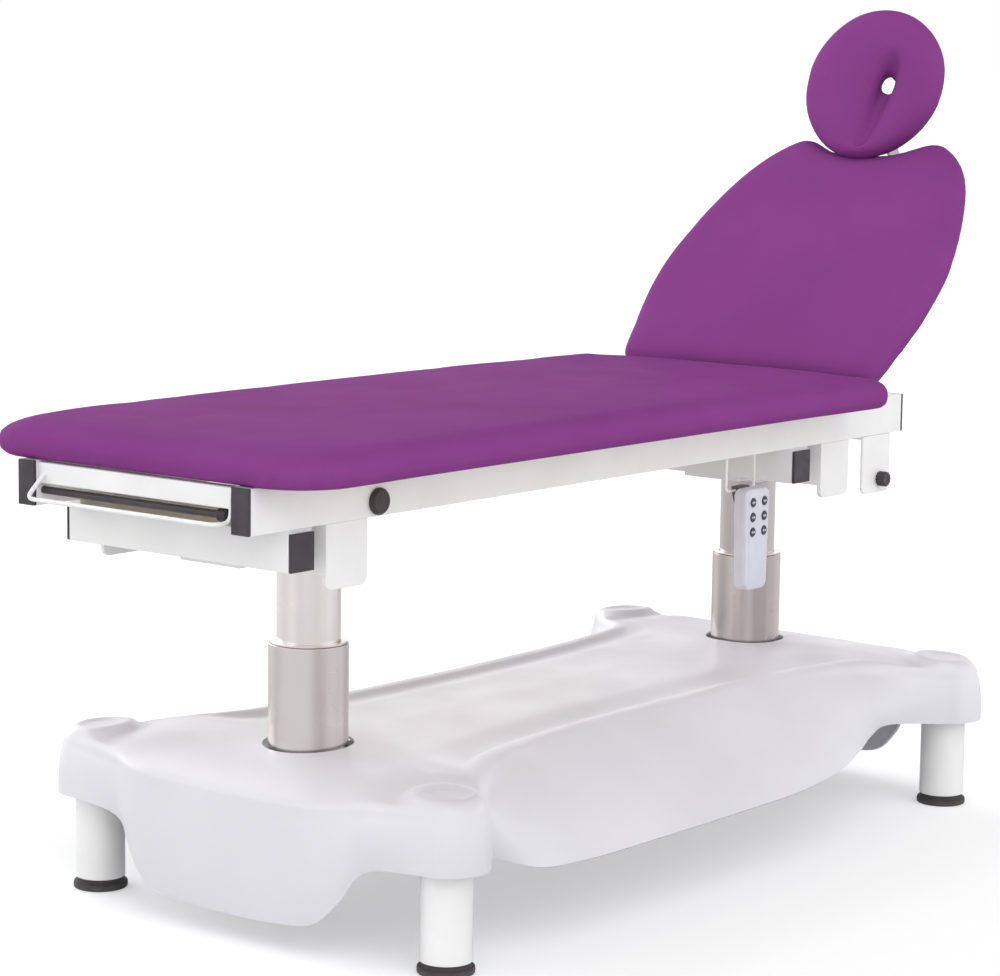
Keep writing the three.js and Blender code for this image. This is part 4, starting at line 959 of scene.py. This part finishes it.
def plywood():
    """Rotary-cut birch: long pale grain with darker flecks."""
    material, tree, shader, place = new_finish("plywood", shade(214, 199, 174), 0.62)
    grain = cloudy(tree, stretched(tree, place, (1, 9, 9)), 0.035, 6)
    tinted(tree, shader, grain, shade(196, 176, 146), shade(219, 205, 181), 0.32, 0.6)
    rub(tree, shader, place, 0.55, 0.72, 0.03)
    relief(tree, shader, cloudy(tree, stretched(tree, place, (1, 14, 14)), 0.01, 4), 0.00008)
    return material


birch = plywood()
dress("seat_board", birch, board_rounding, 1)
dress("backrest_board", birch, board_rounding, 1)


# Upholstery: soft purple vinyl over foam, pulled round each board and stapled below, so no
# seam shows on top. The foam is crowned and its edges roll over.
edge_roll = 36 * mm
edge_tuck = 15 * mm
foot_roll = 40 * mm
foot_roll_length = 170 * mm
roundness = 2.2
foam_thickness = 49 * mm
foam_crown = 5 * mm
board_inset = 29 * mm
board_recess = 9.6 * mm
seat_foot_corner = 98 * mm
seat_head_corner = 26 * mm
foam_step = 7 * mm
foam_pressure = 3
foam_growth = 0.03
foam_cap = 3.5 * mm
foam_ease = 3 * mm
foam_held = 4 * mm
foam_moments = 10
foam_evening = 30
foam_under = 0.16
outline_spacing = 6 * mm
outline_corner_steps = 16
fewest_points = 24

# Shares of the tuck drawn in and of the thickness, from the underside to the fullest height,
# above which the edge rolls over in an oval.
tuck_shares = [(1, 0), (0.62, 0.02), (0.25, 0.12), (0.05, 0.28)]
fullest_rise = 0.42
roll_steps = 8
# Shares of the outline's size and of the crown.
crown_shares = [(0.86, 0.3), (0.7, 0.6), (0.5, 0.82), (0.3, 0.94), (0.1, 1)]
crown_middle = 0.01
# Shares of the outline's size, over the underside.
underside_shares = (0.02, 0.5, 0.85)


def purple_vinyl():
    """Matte coated fabric: a fine pebbled grain, and faint dents from use."""
    material, tree, shader, place = new_finish("purple_vinyl", shade(131, 63, 132), 0.68)
    mottle(tree, shader, place, shade(129, 62, 130), shade(133, 65, 134), 0.16)
    rub(tree, shader, place, 0.62, 0.74, 0.09)
    shader.inputs["Specular IOR Level"].default_value = 0.01
    pebbles = part_of(tree, "TexVoronoi", {"feature": "SMOOTH_F1", "Scale": 620, "Smoothness": 0.6},
                      {"Vector": place}).outputs["Distance"]
    relief(tree, shader, pebbles, 0.00012)
    relief(tree, shader, cloudy(tree, place, 0.004, 2), 0.00012)
    relief(tree, shader, cloudy(tree, place, 0.06, 2), 0.0012)
    return material


def rounded_outline(x0, x1, half, first, last):
    """A rectangle along X, its corners rounded by one radius at x0 and another at x1."""
    line = []
    for cx, cy, radius, turn in (
            (x0 + first, -half + first, first, 180), (x1 - last, -half + last, last, 270),
            (x1 - last, half - last, last, 0), (x0 + first, half - first, first, 90)):
        for i in range(outline_corner_steps + 1):
            angle = math.radians(turn + 90 * i / outline_corner_steps)
            line.append(Vector((cx + radius * math.cos(angle), cy + radius * math.sin(angle), 0)))
    return evenly_spaced(line)


def evenly_spaced(line):
    """A closed line stepped at an even spacing."""
    points = np.array([tuple(p) for p in line])
    following = np.roll(points, -1, axis=0)
    lengths = np.linalg.norm(following - points, axis=1)
    reach = np.concatenate([[0], np.cumsum(lengths)])
    count = max(fewest_points, int(reach[-1] / outline_spacing))
    closed = np.vstack([points, points[:1]])
    at = np.linspace(0, reach[-1], count, endpoint=False)
    return [Vector([np.interp(a, reach, closed[:, k]) for k in range(3)]) for a in at]


def moved_in(outline, distances):
    """The outline moved inwards, square to itself, by a distance for each point."""
    count = len(outline)
    ring = []
    for i, (point, distance) in enumerate(zip(outline, distances)):
        along = outline[(i + 1) % count] - outline[i - 1]
        ring.append(point + Vector((-along.y, along.x, 0)).normalized() * distance)
    return ring


def foam_pad(name, outline, bottom, material, soft_end=0.0):
    """A crowned pad with rolled edges over a flat underside.

    It is made a little small, and plumped up afterwards. A soft end rolls over more slowly at
    its low X."""
    box_low = Vector([min(p[k] for p in outline) for k in range(2)])
    box_high = Vector([max(p[k] for p in outline) for k in range(2)])
    centre = Vector(((box_low.x + box_high.x) / 2, (box_low.y + box_high.y) / 2, 0))
    height = foam_thickness - foam_ease
    rolls = [edge_roll + soft_end * (1 - step_smoothly(p.x - box_low.x, 0, foot_roll_length))
             for p in outline]

    def level(drawn, rise):
        return [p + Vector((0, 0, bottom + height * rise)) for p in moved_in(outline, drawn)]

    def shrunk(ring, share, rise=0.0):
        return [centre.lerp(p, share) + Vector((0, 0, p.z * (1 - share) + rise)) for p in ring]

    tucked = level([foam_ease + edge_tuck] * len(outline), 0)
    rings = [shrunk(tucked, share) for share in underside_shares]
    rings += [level([foam_ease + edge_tuck * drawn] * len(outline), rise) for drawn, rise in tuck_shares]
    for step in range(roll_steps + 1):
        turn = math.pi / 2 * step / roll_steps
        drawn = 1 - math.cos(turn) ** (2 / roundness)
        rise = fullest_rise + (1 - fullest_rise) * math.sin(turn) ** (2 / roundness)
        rings.append(level([foam_ease + roll * drawn for roll in rolls], rise))
    top = rings[-1]
    rings += [shrunk(top, share, foam_crown * rise) for share, rise in crown_shares]
    rings.append(shrunk(top, crown_middle, foam_crown))
    return lofted(name, rings, material)


def coordinates(mesh):
    found = np.empty(len(mesh.vertices) * 3)
    mesh.vertices.foreach_get("co", found)
    return found.reshape(-1, 3)


def set_coordinates(mesh, found):
    mesh.vertices.foreach_set("co", found.ravel())
    mesh.update()


def evened(mesh, values, rounds):
    """Values on the mesh's corners, drawn towards those of their neighbours."""
    pairs = np.empty(len(mesh.edges) * 2, int)
    mesh.edges.foreach_get("vertices", pairs)
    first, second = pairs.reshape(-1, 2).T
    count = np.bincount(pairs, minlength=len(values))
    for _ in range(rounds):
        total = np.bincount(first, values[second], len(values))
        total += np.bincount(second, values[first], len(values))
        values = (values + total / np.maximum(count, 1)) / 2
    return values


def plump(piece, step, cap, held_below):
    """Blows the pad up against its own cover as cloth, so that it fills out like foam.

    Its mesh is made even first. What lies below the held height stays where it is, and nothing
    swells by more than the cap."""
    remesh = piece.modifiers.new("even mesh", "REMESH")
    remesh.mode = "VOXEL"
    remesh.voxel_size = step
    piece.modifiers.move(len(piece.modifiers) - 1, 0)
    worked(piece)
    start = coordinates(piece.data)
    outward = np.empty(start.size)
    piece.data.vertex_normals.foreach_get("vector", outward)
    outward = outward.reshape(-1, 3)
    held = piece.vertex_groups.new(name="held")
    held.add([i for i in range(len(start)) if start[i][2] < held_below], 1, "REPLACE")
    cloth = piece.modifiers.new("cloth", "CLOTH")
    setting = cloth.settings
    setting.quality = 4
    setting.mass = 0.3
    setting.tension_stiffness = 5
    setting.compression_stiffness = 5
    setting.shear_stiffness = 3
    setting.bending_stiffness = 0.5
    setting.shrink_min = -foam_growth
    setting.use_pressure = True
    setting.uniform_pressure_force = foam_pressure
    setting.effector_weights.gravity = 0
    setting.vertex_group_mass = "held"
    cloth.point_cache.frame_start = 1
    cloth.point_cache.frame_end = foam_moments
    for moment in range(1, foam_moments + 1):
        scene.frame_set(moment)
    drawn = bpy.context.evaluated_depsgraph_get()
    swollen = coordinates(piece.evaluated_get(drawn).to_mesh())
    piece.evaluated_get(drawn).to_mesh_clear()
    piece.modifiers.clear()
    scene.frame_set(1)
    swelling = np.clip(((swollen - start) * outward).sum(1), 0, cap)
    swelling = evened(piece.data, swelling, foam_evening)
    set_coordinates(piece.data, start + outward * swelling[:, None])


def settled(piece, rounds=2):
    """Evens out the cover's small steps and gives the piece its final smooth mesh."""
    even = piece.modifiers.new("even cover", "SMOOTH")
    even.factor = 0.5
    even.iterations = rounds
    worked(piece)
    for face in piece.data.polygons:
        face.use_smooth = True
    return piece


def depth_inside(points, outline):
    """How far each point lies inside a closed outline, in plan."""
    corners = np.array([(p.x, p.y) for p in outline])
    ahead = np.roll(corners, -1, axis=0) - corners
    squared = (ahead ** 2).sum(1)
    nearest = np.full(len(points), np.inf)
    crossings = np.zeros(len(points), int)
    for corner, way, length in zip(corners, ahead, squared):
        away = points - corner
        t = np.clip((away @ way) / length, 0, 1)
        nearest = np.minimum(nearest, np.linalg.norm(away - t[:, None] * way, axis=1))
        straddles = (corner[1] > points[:, 1]) != (corner[1] + way[1] > points[:, 1])
        rise = way[1] if abs(way[1]) > 1e-12 else 1e-12
        crossings += straddles & (points[:, 0] < corner[0] + way[0] * (points[:, 1] - corner[1]) / rise)
    return np.where(crossings % 2 == 1, nearest, -nearest)


def hollow_for_board(piece, outline, bottom):
    """Lifts the middle of the underside, so that the board lies in it."""
    found = coordinates(piece.data)
    under = found[:, 2] < bottom + foam_thickness * foam_under
    inside = depth_inside(found[:, :2], outline) > board_inset
    found[under & inside, 2] = bottom + board_recess
    set_coordinates(piece.data, found)


vinyl = purple_vinyl()
low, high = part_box("seat_cushion")
outline = rounded_outline(low.x, high.x, high.y, seat_foot_corner, seat_head_corner)
seat = foam_pad("seat_upholstery", outline, low.z, vinyl, foot_roll)
plump(seat, foam_step, foam_cap, low.z + foam_held)
settled(seat)
hollow_for_board(seat, outline, low.z)
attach(seat, "top_frame")
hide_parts("seat_cushion")


# Backrest: two welded arms on a cross shaft turn between the rails, and carry a padded board
# that closes in to two shoulders with a dip between them for the headrest.
joint_places = {joint["name"]: joint["pos_m"] for joint in frame["joints"] if "pos_m" in joint}
hinge = Vector(joint_places["backrest_tilt"])
backrest_turn = 43
backrest_start = 14 * mm
backrest_length = 540 * mm
backrest_half = 268 * mm
backrest_bottom = 0.6 * mm
backrest_curve_steps = 900

# Shares of the length and of the half width.
backrest_shares = [
    (0, 0), (0, 0.45), (0, 0.8), (0.03, 0.9), (0.14, 0.955), (0.3, 1), (0.46, 1), (0.61, 0.945),
    (0.752, 0.86), (0.848, 0.775), (0.905, 0.7), (0.955, 0.6), (0.985, 0.5), (0.981, 0.41),
    (0.961, 0.33), (0.936, 0.22), (0.926, 0.1), (0.924, 0),
]


def stood_up(piece, pivot, turn):
    """Tips a piece that was made lying flat about its pivot, by degrees, to where it rests."""
    piece.data.transform(Matrix.Translation(pivot) @ Matrix.Rotation(math.radians(-turn), 4, "Y"))


dress("backrest_frame", enamel, sheet_rounding)
near_edge = [Vector((backrest_start + backrest_length * along, -backrest_half * across, 0))
             for along, across in backrest_shares]
far_edge = [Vector((p.x, -p.y, 0)) for p in near_edge[1:-1]][::-1]
outline = evenly_spaced(smooth_loop(near_edge + far_edge, backrest_curve_steps))
backrest = foam_pad("backrest_upholstery", outline, backrest_bottom, vinyl)
plump(backrest, foam_step, foam_cap, backrest_bottom + foam_held)
settled(backrest)
hollow_for_board(backrest, outline, backrest_bottom)
stood_up(backrest, hinge, backrest_turn)
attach(backrest, "backrest")
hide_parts("backrest_cushion")


# Backrest actuator: a cast housing and screw hung between a cross bar and the backrest's
# crank; its zinc-plated rod ends in a fork.
zinc_rounding = 0.8 * mm

# Bright zinc: pale grey metal with a faint yellow and blue drift.
zinc = plain_finish("zinc_steel", shade(176, 177, 180), 0.36,
                    (shade(168, 171, 178), shade(186, 183, 174), 0.02), (0.28, 0.48, 0.01),
                    (0.002, 2, 0.00004), 0.85)
dress("actuator_bar", enamel, sheet_rounding)
dress("actuator_body", casting, casting_rounding, fine_steps)
dress("actuator_rod", zinc, zinc_rounding)


# Headrest: a padded ring on a black board that tilts between two zinc-plated ears. Its face
# hole is open above only; below, the two lobes press together in a leaning groove.
head_pivot = Vector(joint_places["headrest_tilt"])
head_turn = 72
head_length = 252 * mm
head_half = 127 * mm
head_drop = 40 * mm
head_bottom = 18.3 * mm
head_depth = 46 * mm
head_fullness = 0.04
lip_drop = 8 * mm
head_step = 3.4 * mm
head_cap = 2 * mm
groove_low = 10 * mm
groove_length = 150 * mm
groove_half = 21 * mm
groove_slit = 0.22
groove_foot_y = -10 * mm
groove_lean = 34 * mm
hole_low = 118 * mm
hole_length = 18 * mm
hole_half = 12 * mm
hole_y = -25 * mm
around_head = 150
head_held = 3 * mm
head_board_rounding = 1.5 * mm

# Shares of the way from the rim to the hole, and of the depth.
ring_shares = [
    (0.14, 0), (0.06, 0.02), (0.015, 0.09), (0, 0.2), (0, 0.38), (0.015, 0.56), (0.06, 0.73),
    (0.14, 0.87), (0.26, 0.96), (0.38, 0.995), (0.5, 1), (0.62, 0.985), (0.74, 0.94), (0.85, 0.85),
    (0.93, 0.72), (0.98, 0.55), (1, 0.38), (0.99, 0.22), (0.95, 0.1), (0.87, 0.02), (0.78, 0),
    (0.55, 0), (0.35, 0),
]


def head_rings():
    """Rings round the pad, from its underside over its rim and its face and down its hole."""
    rings = [[] for _ in ring_shares]
    for i in range(around_head):
        angle = 2 * math.pi * i / around_head
        fullness = 1 + head_fullness * math.cos(2 * angle) ** 2 * abs(math.cos(angle))
        rim = Vector((-head_drop + head_length / 2 * (1 + math.cos(angle)),
                      head_half * math.sin(angle) * fullness, 0))
        along = (1 + math.cos(angle)) / 2
        taper = groove_slit + (1 - groove_slit) * along
        groove = Vector((-head_drop + groove_low + groove_length * along,
                         groove_half * math.sin(angle) * taper + groove_foot_y - groove_lean * along, 0))
        hole = Vector((-head_drop + hole_low + hole_length * along,
                       hole_half * math.sin(angle) + hole_y, 0))
        for ring, (across, rise) in zip(rings, ring_shares):
            inner = hole.lerp(groove, step_smoothly(rise, 0.1, 0.8))
            lip = lip_drop * (1 - along) ** 3 * (1 - across) ** 3 * step_smoothly(rise, 0.2, 0.6)
            ring.append(rim.lerp(inner, across) + Vector((-lip, 0, head_bottom + head_depth * rise)))
    return rings


dress("headrest_slide", zinc, zinc_rounding)
dress("headrest_board", black, head_board_rounding, fine_steps)
headrest = lofted("headrest_upholstery", head_rings(), vinyl, joined=True)
plump(headrest, head_step, head_cap, head_bottom + head_held)
settled(headrest, 1)
stood_up(headrest, head_pivot, head_turn)
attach(headrest, "headrest")
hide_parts("headrest_cushion")


# Handset: a two-part remote with a raised front plate, hung by a grey hook from a wire
# loop under the near rail. Six round black buttons sit in its face, each in a thin pale collar
# and with two small pale arrows.
loop_half = 37 * mm
loop_wire = 2 * mm
loop_bend = 8 * mm
handset_x = middle_of("handset_body").x
handset_top = 542 * mm
handset_length = 154 * mm
handset_top_width = 64 * mm
handset_bottom_width = 56 * mm
handset_depth = 25 * mm
handset_corner = 12 * mm
handset_edge = 4.5 * mm
handset_split = 0.45
corner_steps = 10
edge_steps = 6
button_radius = 7 * mm
button_rounding = 0.4 * mm
button_sides = 48
pocket_radius = 7.4 * mm
pocket_depth = 3.4 * mm
pocket_start = 2 * mm
face_height = 0.8 * mm
face_inset = 5.5 * mm
face_rounding = 0.4 * mm
face_edge = 0.3 * mm
groove = 0.5 * mm
groove_floor = 0.4
hook_width = 30 * mm
hook_wall = 4 * mm
hook_drop = 30 * mm
hook_taper = 0.6
hook_rounding = 0.7 * mm
collar_radius = 7.5 * mm
collar_width = 0.7 * mm
collar_height = 0.3 * mm
collar_root = 0.4 * mm
arrow_reach = 4.6 * mm
arrow_root = 1 * mm
arrow_half = 2.3 * mm
arrow_depth = 0.2 * mm
arrow_lift = 0.05 * mm
# Shares of the button's radius, and depths behind its highest ring: dished, with a round rim.
button_face = [(0, 0.35 * mm), (0.7, 0.1 * mm), (0.85, 0), (1, 0.6 * mm)]


def handset_ring(inset, y):
    """The handset's outline, drawn in, at a depth."""
    r = handset_corner - inset
    bottom = handset_top - handset_length
    ring = []
    for sx, sz, width, z, turn in (
            (-1, -1, handset_bottom_width, bottom, 180), (1, -1, handset_bottom_width, bottom, 270),
            (1, 1, handset_top_width, handset_top, 0), (-1, 1, handset_top_width, handset_top, 90)):
        centre_x = handset_x + sx * (width / 2 - inset - r)
        centre_z = z - sz * (inset + r)
        for i in range(corner_steps + 1):
            angle = math.radians(turn + 90 * i / corner_steps)
            ring.append(Vector((centre_x + r * math.cos(angle), y, centre_z + r * math.sin(angle))))
    return ring


low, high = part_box("handset_loop")
wire_y = (low.y + high.y) / 2
wire_z = low.z + loop_wire
loop = wire("handset_wire_loop", [
    (handset_x - loop_half, wire_y, high.z), (handset_x - loop_half, wire_y, wire_z),
    (handset_x + loop_half, wire_y, wire_z), (handset_x + loop_half, wire_y, high.z),
], loop_bend, loop_wire, enamel)
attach(loop, "top_frame")
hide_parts("handset_loop")

low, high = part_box("handset_body")
front = low.y
back = front + handset_depth
split = front + handset_split * handset_depth
shell_front = front + face_height


def rounded_end(start, end):
    """Rings that round the shell's edge off, from a flat end at start towards end."""
    edge = math.copysign(handset_edge, end - start)
    return [handset_ring(handset_edge * (1 - math.sin(angle)), start + edge * (1 - math.cos(angle)))
            for angle in (math.pi / 2 * i / edge_steps for i in range(edge_steps + 1))]


rings = [handset_ring(face_inset + face_rounding, front), handset_ring(face_inset, front + face_edge),
         handset_ring(face_inset, shell_front)]
rings += rounded_end(shell_front, back)
rings += [handset_ring(0, split - groove), handset_ring(groove, split - groove * groove_floor),
          handset_ring(groove, split + groove * groove_floor), handset_ring(0, split + groove)]
rings += rounded_end(back, front)[::-1]
pale = plain_finish("handset_plastic", shade(212, 211, 224), 0.42,
                    (shade(206, 205, 218), shade(214, 213, 226), 0.04), (0.34, 0.5, 0.015),
                    (0.0007, 2, 0.00004))
body = lofted("handset_shell", rings, pale)
pocket_floor = front + pocket_depth
pocket_shape = [(0, front - pocket_start), (pocket_radius, front - pocket_start),
                (pocket_radius, pocket_floor), (0, pocket_floor)]
button_places = [f"{row}{column}" for row in (1, 2, 3) for column in "ab"]
cutters = []
for place in button_places:
    at = middle_of(f"handset_button_{place}")
    cutters.append(turned("pocket", pocket_shape, (at.x, 0, at.z), black, button_sides, axis="y"))
    cut_from(body, cutters[-1], "pocket")
body.modifiers.remove(body.modifiers["even shading"])
worked(body, cutters)
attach(body, "handset")
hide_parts("handset_body")

hook_top = high.z
hook_back = high.y
inner_top = hook_top - hook_wall
# The hook from the side: its flat top, and a leaf that hangs down behind the wire.
hook_side = [(back - 1 * mm, inner_top - 5 * mm), (back - 1 * mm, hook_top - 4 * mm),
             (back + hook_wall, hook_top), (hook_back - 1 * mm, hook_top),
             (hook_back, hook_top - 1.5 * mm), (hook_back, inner_top - hook_drop * 0.4),
             (hook_back - hook_wall * 0.6, inner_top - hook_drop),
             (hook_back - hook_wall, inner_top - hook_drop), (hook_back - hook_wall, inner_top)]


def hook_ring(share):
    """The hook's side shape at a share of its width, which narrows to its tip."""
    ring = []
    for y, z in hook_side:
        lower = min(max((hook_top - z) / (hook_wall + hook_drop), 0), 1)
        ring.append(Vector((handset_x + share * hook_width * (1 - hook_taper * lower), y, z)))
    return ring


grey_brown = plain_finish("hook_plastic", shade(95, 86, 92), 0.5,
                          (shade(90, 81, 87), shade(100, 91, 97), 0.02), (0.42, 0.6, 0.01),
                          (0.0008, 2, 0.00005))
hook = lofted("handset_hook", [hook_ring(-0.5), hook_ring(0.5)], grey_brown)
edges = hook.modifiers.new("rounded edges", "BEVEL")
edges.width = hook_rounding
edges.segments = 2
edges.limit_method = "ANGLE"
hook.modifiers.move(1, 0)
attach(hook, "handset")

button_black = plain_finish("button_plastic", shade(48, 48, 58), 0.45,
                            (shade(43, 43, 53), shade(53, 53, 63), 0.006), (0.34, 0.55, 0.004),
                            (0.0006, 2, 0.00003))
for place in button_places:
    node = f"handset_button_{place}"
    low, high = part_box(node)
    at = middle_of(node)
    profile = [(button_radius * share, low.y + depth) for share, depth in button_face]
    profile = eased(profile + [(button_radius, high.y), (0, high.y)], button_rounding)
    button = turned(f"round_button_{place}", profile, (at.x, 0, at.z), button_black, button_sides,
                    axis="y")
    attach(button, node)
    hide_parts(node)
    collar_top, collar_bottom = front - collar_height, front + collar_root
    collar_outer = collar_radius + collar_width
    collar = turned(f"button_collar_{place}", [
        (collar_radius, collar_top), (collar_radius, collar_bottom),
        (collar_outer, collar_bottom), (collar_outer, collar_top),
    ], (at.x, 0, at.z), pale, button_sides, joined=True, axis="y")
    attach(collar, "handset")
    for way, sx in (("left", -1), ("right", 1)):
        face = low.y + arrow_lift
        corners = [Vector((at.x + sx * arrow_reach, face, at.z)),
                   Vector((at.x + sx * arrow_root, face, at.z + arrow_half)),
                   Vector((at.x + sx * arrow_root, face, at.z - arrow_half))]
        depth = Vector((0, arrow_depth, 0))
        rings = [[corner - depth for corner in corners], [corner + depth for corner in corners]]
        arrow = lofted(f"button_arrow_{place}_{way}", rings, pale)
        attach(arrow, node)


# Studio: a pale floor, a broad soft light from above and the near foot corner, weaker ones
# from the far side that reach in under the top, and pale surroundings that light it all round.
floor_size = 400
floor_glow = 0.36
light_ways = [
    ("key_light", (-0.45, -0.75, 1.1), 50, 1.0),
    ("fill_light", (-0.9, 0.5, 0.9), 60, 0.25),
    ("back_light", (0.1, 1.0, 0.5), 50, 1.3),
]
sky_low = 1.6
sky_high = 0.12
sky_fall_start = 0.25
sky_fall_end = 0.8
panel_size = 1.1
panel_stretch = (1, 1, 0.05)
panel_low = 0.35
panel_high = 0.65
panel_dim = 0.84
panel_bright = 1.12


def floor_finish():
    """Smooth pale paper: it shows shadows, and is lifted to white where the camera sees it."""
    material = bpy.data.materials.new("studio_floor")
    material.use_nodes = True
    tree = material.node_tree
    shader = tree.nodes["Principled BSDF"]
    shader.inputs["Base Color"].default_value = shade(226, 226, 228)
    shader.inputs["Roughness"].default_value = 0.9
    shader.inputs["Specular IOR Level"].default_value = 0.1
    glow = part_of(tree, "Emission", {"Color": (1, 1, 1, 1)})
    seen = part_of(tree, "LightPath").outputs["Is Camera Ray"]
    level = part_of(tree, "Math", {"operation": "MULTIPLY", 1: floor_glow}, {0: seen})
    tree.links.new(level.outputs["Value"], glow.inputs["Strength"])
    both = part_of(tree, "AddShader", {}, {0: shader.outputs["BSDF"], 1: glow.outputs["Emission"]})
    tree.links.new(both.outputs["Shader"], tree.nodes["Material Output"].inputs["Surface"])
    return material


def studio_walls(tree):
    """Surroundings brightest at the height of the table, with soft upright panels round them."""
    way = part_of(tree, "TexCoord").outputs["Generated"]
    height = part_of(tree, "SeparateXYZ", {}, {"Vector": way}).outputs["Z"]
    level = risen(tree, height, sky_fall_start, sky_fall_end, sky_low, sky_high)
    panels = cloudy(tree, stretched(tree, way, panel_stretch), panel_size, 1)
    bright = risen(tree, panels, panel_low, panel_high, panel_dim, panel_bright)
    both = part_of(tree, "Math", {"operation": "MULTIPLY"}, {0: level, 1: bright})
    path = part_of(tree, "LightPath")
    seen = part_of(tree, "Math", {"operation": "MAXIMUM"},
                   {0: path.outputs["Is Camera Ray"], 1: path.outputs["Is Transmission Ray"]})
    shown = part_of(tree, "MapRange", {"To Max": 1.0}, {"Value": seen.outputs["Value"],
                    "To Min": both.outputs["Value"]})
    tree.links.new(shown.outputs["Result"], tree.nodes["Background"].inputs["Strength"])
    tree.nodes["Background"].inputs["Color"].default_value = (1, 1, 1, 1)


half = floor_size / 2
mesh = bpy.data.meshes.new("floor")
floor_corners = [(-half, -half, 0), (half, -half, 0), (half, half, 0), (-half, half, 0)]
mesh.from_pydata(floor_corners, [], [(0, 1, 2, 3)])
mesh.materials.append(floor_finish())
floor = bpy.data.objects.new("floor", mesh)
scene.collection.objects.link(floor)

for name, way, softness, power in light_ways:
    lamp = bpy.data.lights.new(name, "SUN")
    lamp.angle = math.radians(softness)
    lamp.energy = power
    holder = bpy.data.objects.new(name, lamp)
    holder.rotation_euler = Vector(way).to_track_quat("Z", "Y").to_euler()
    scene.collection.objects.link(holder)

world = bpy.data.worlds.new("studio")
scene.world = world
world.use_nodes = True
studio_walls(world.node_tree)
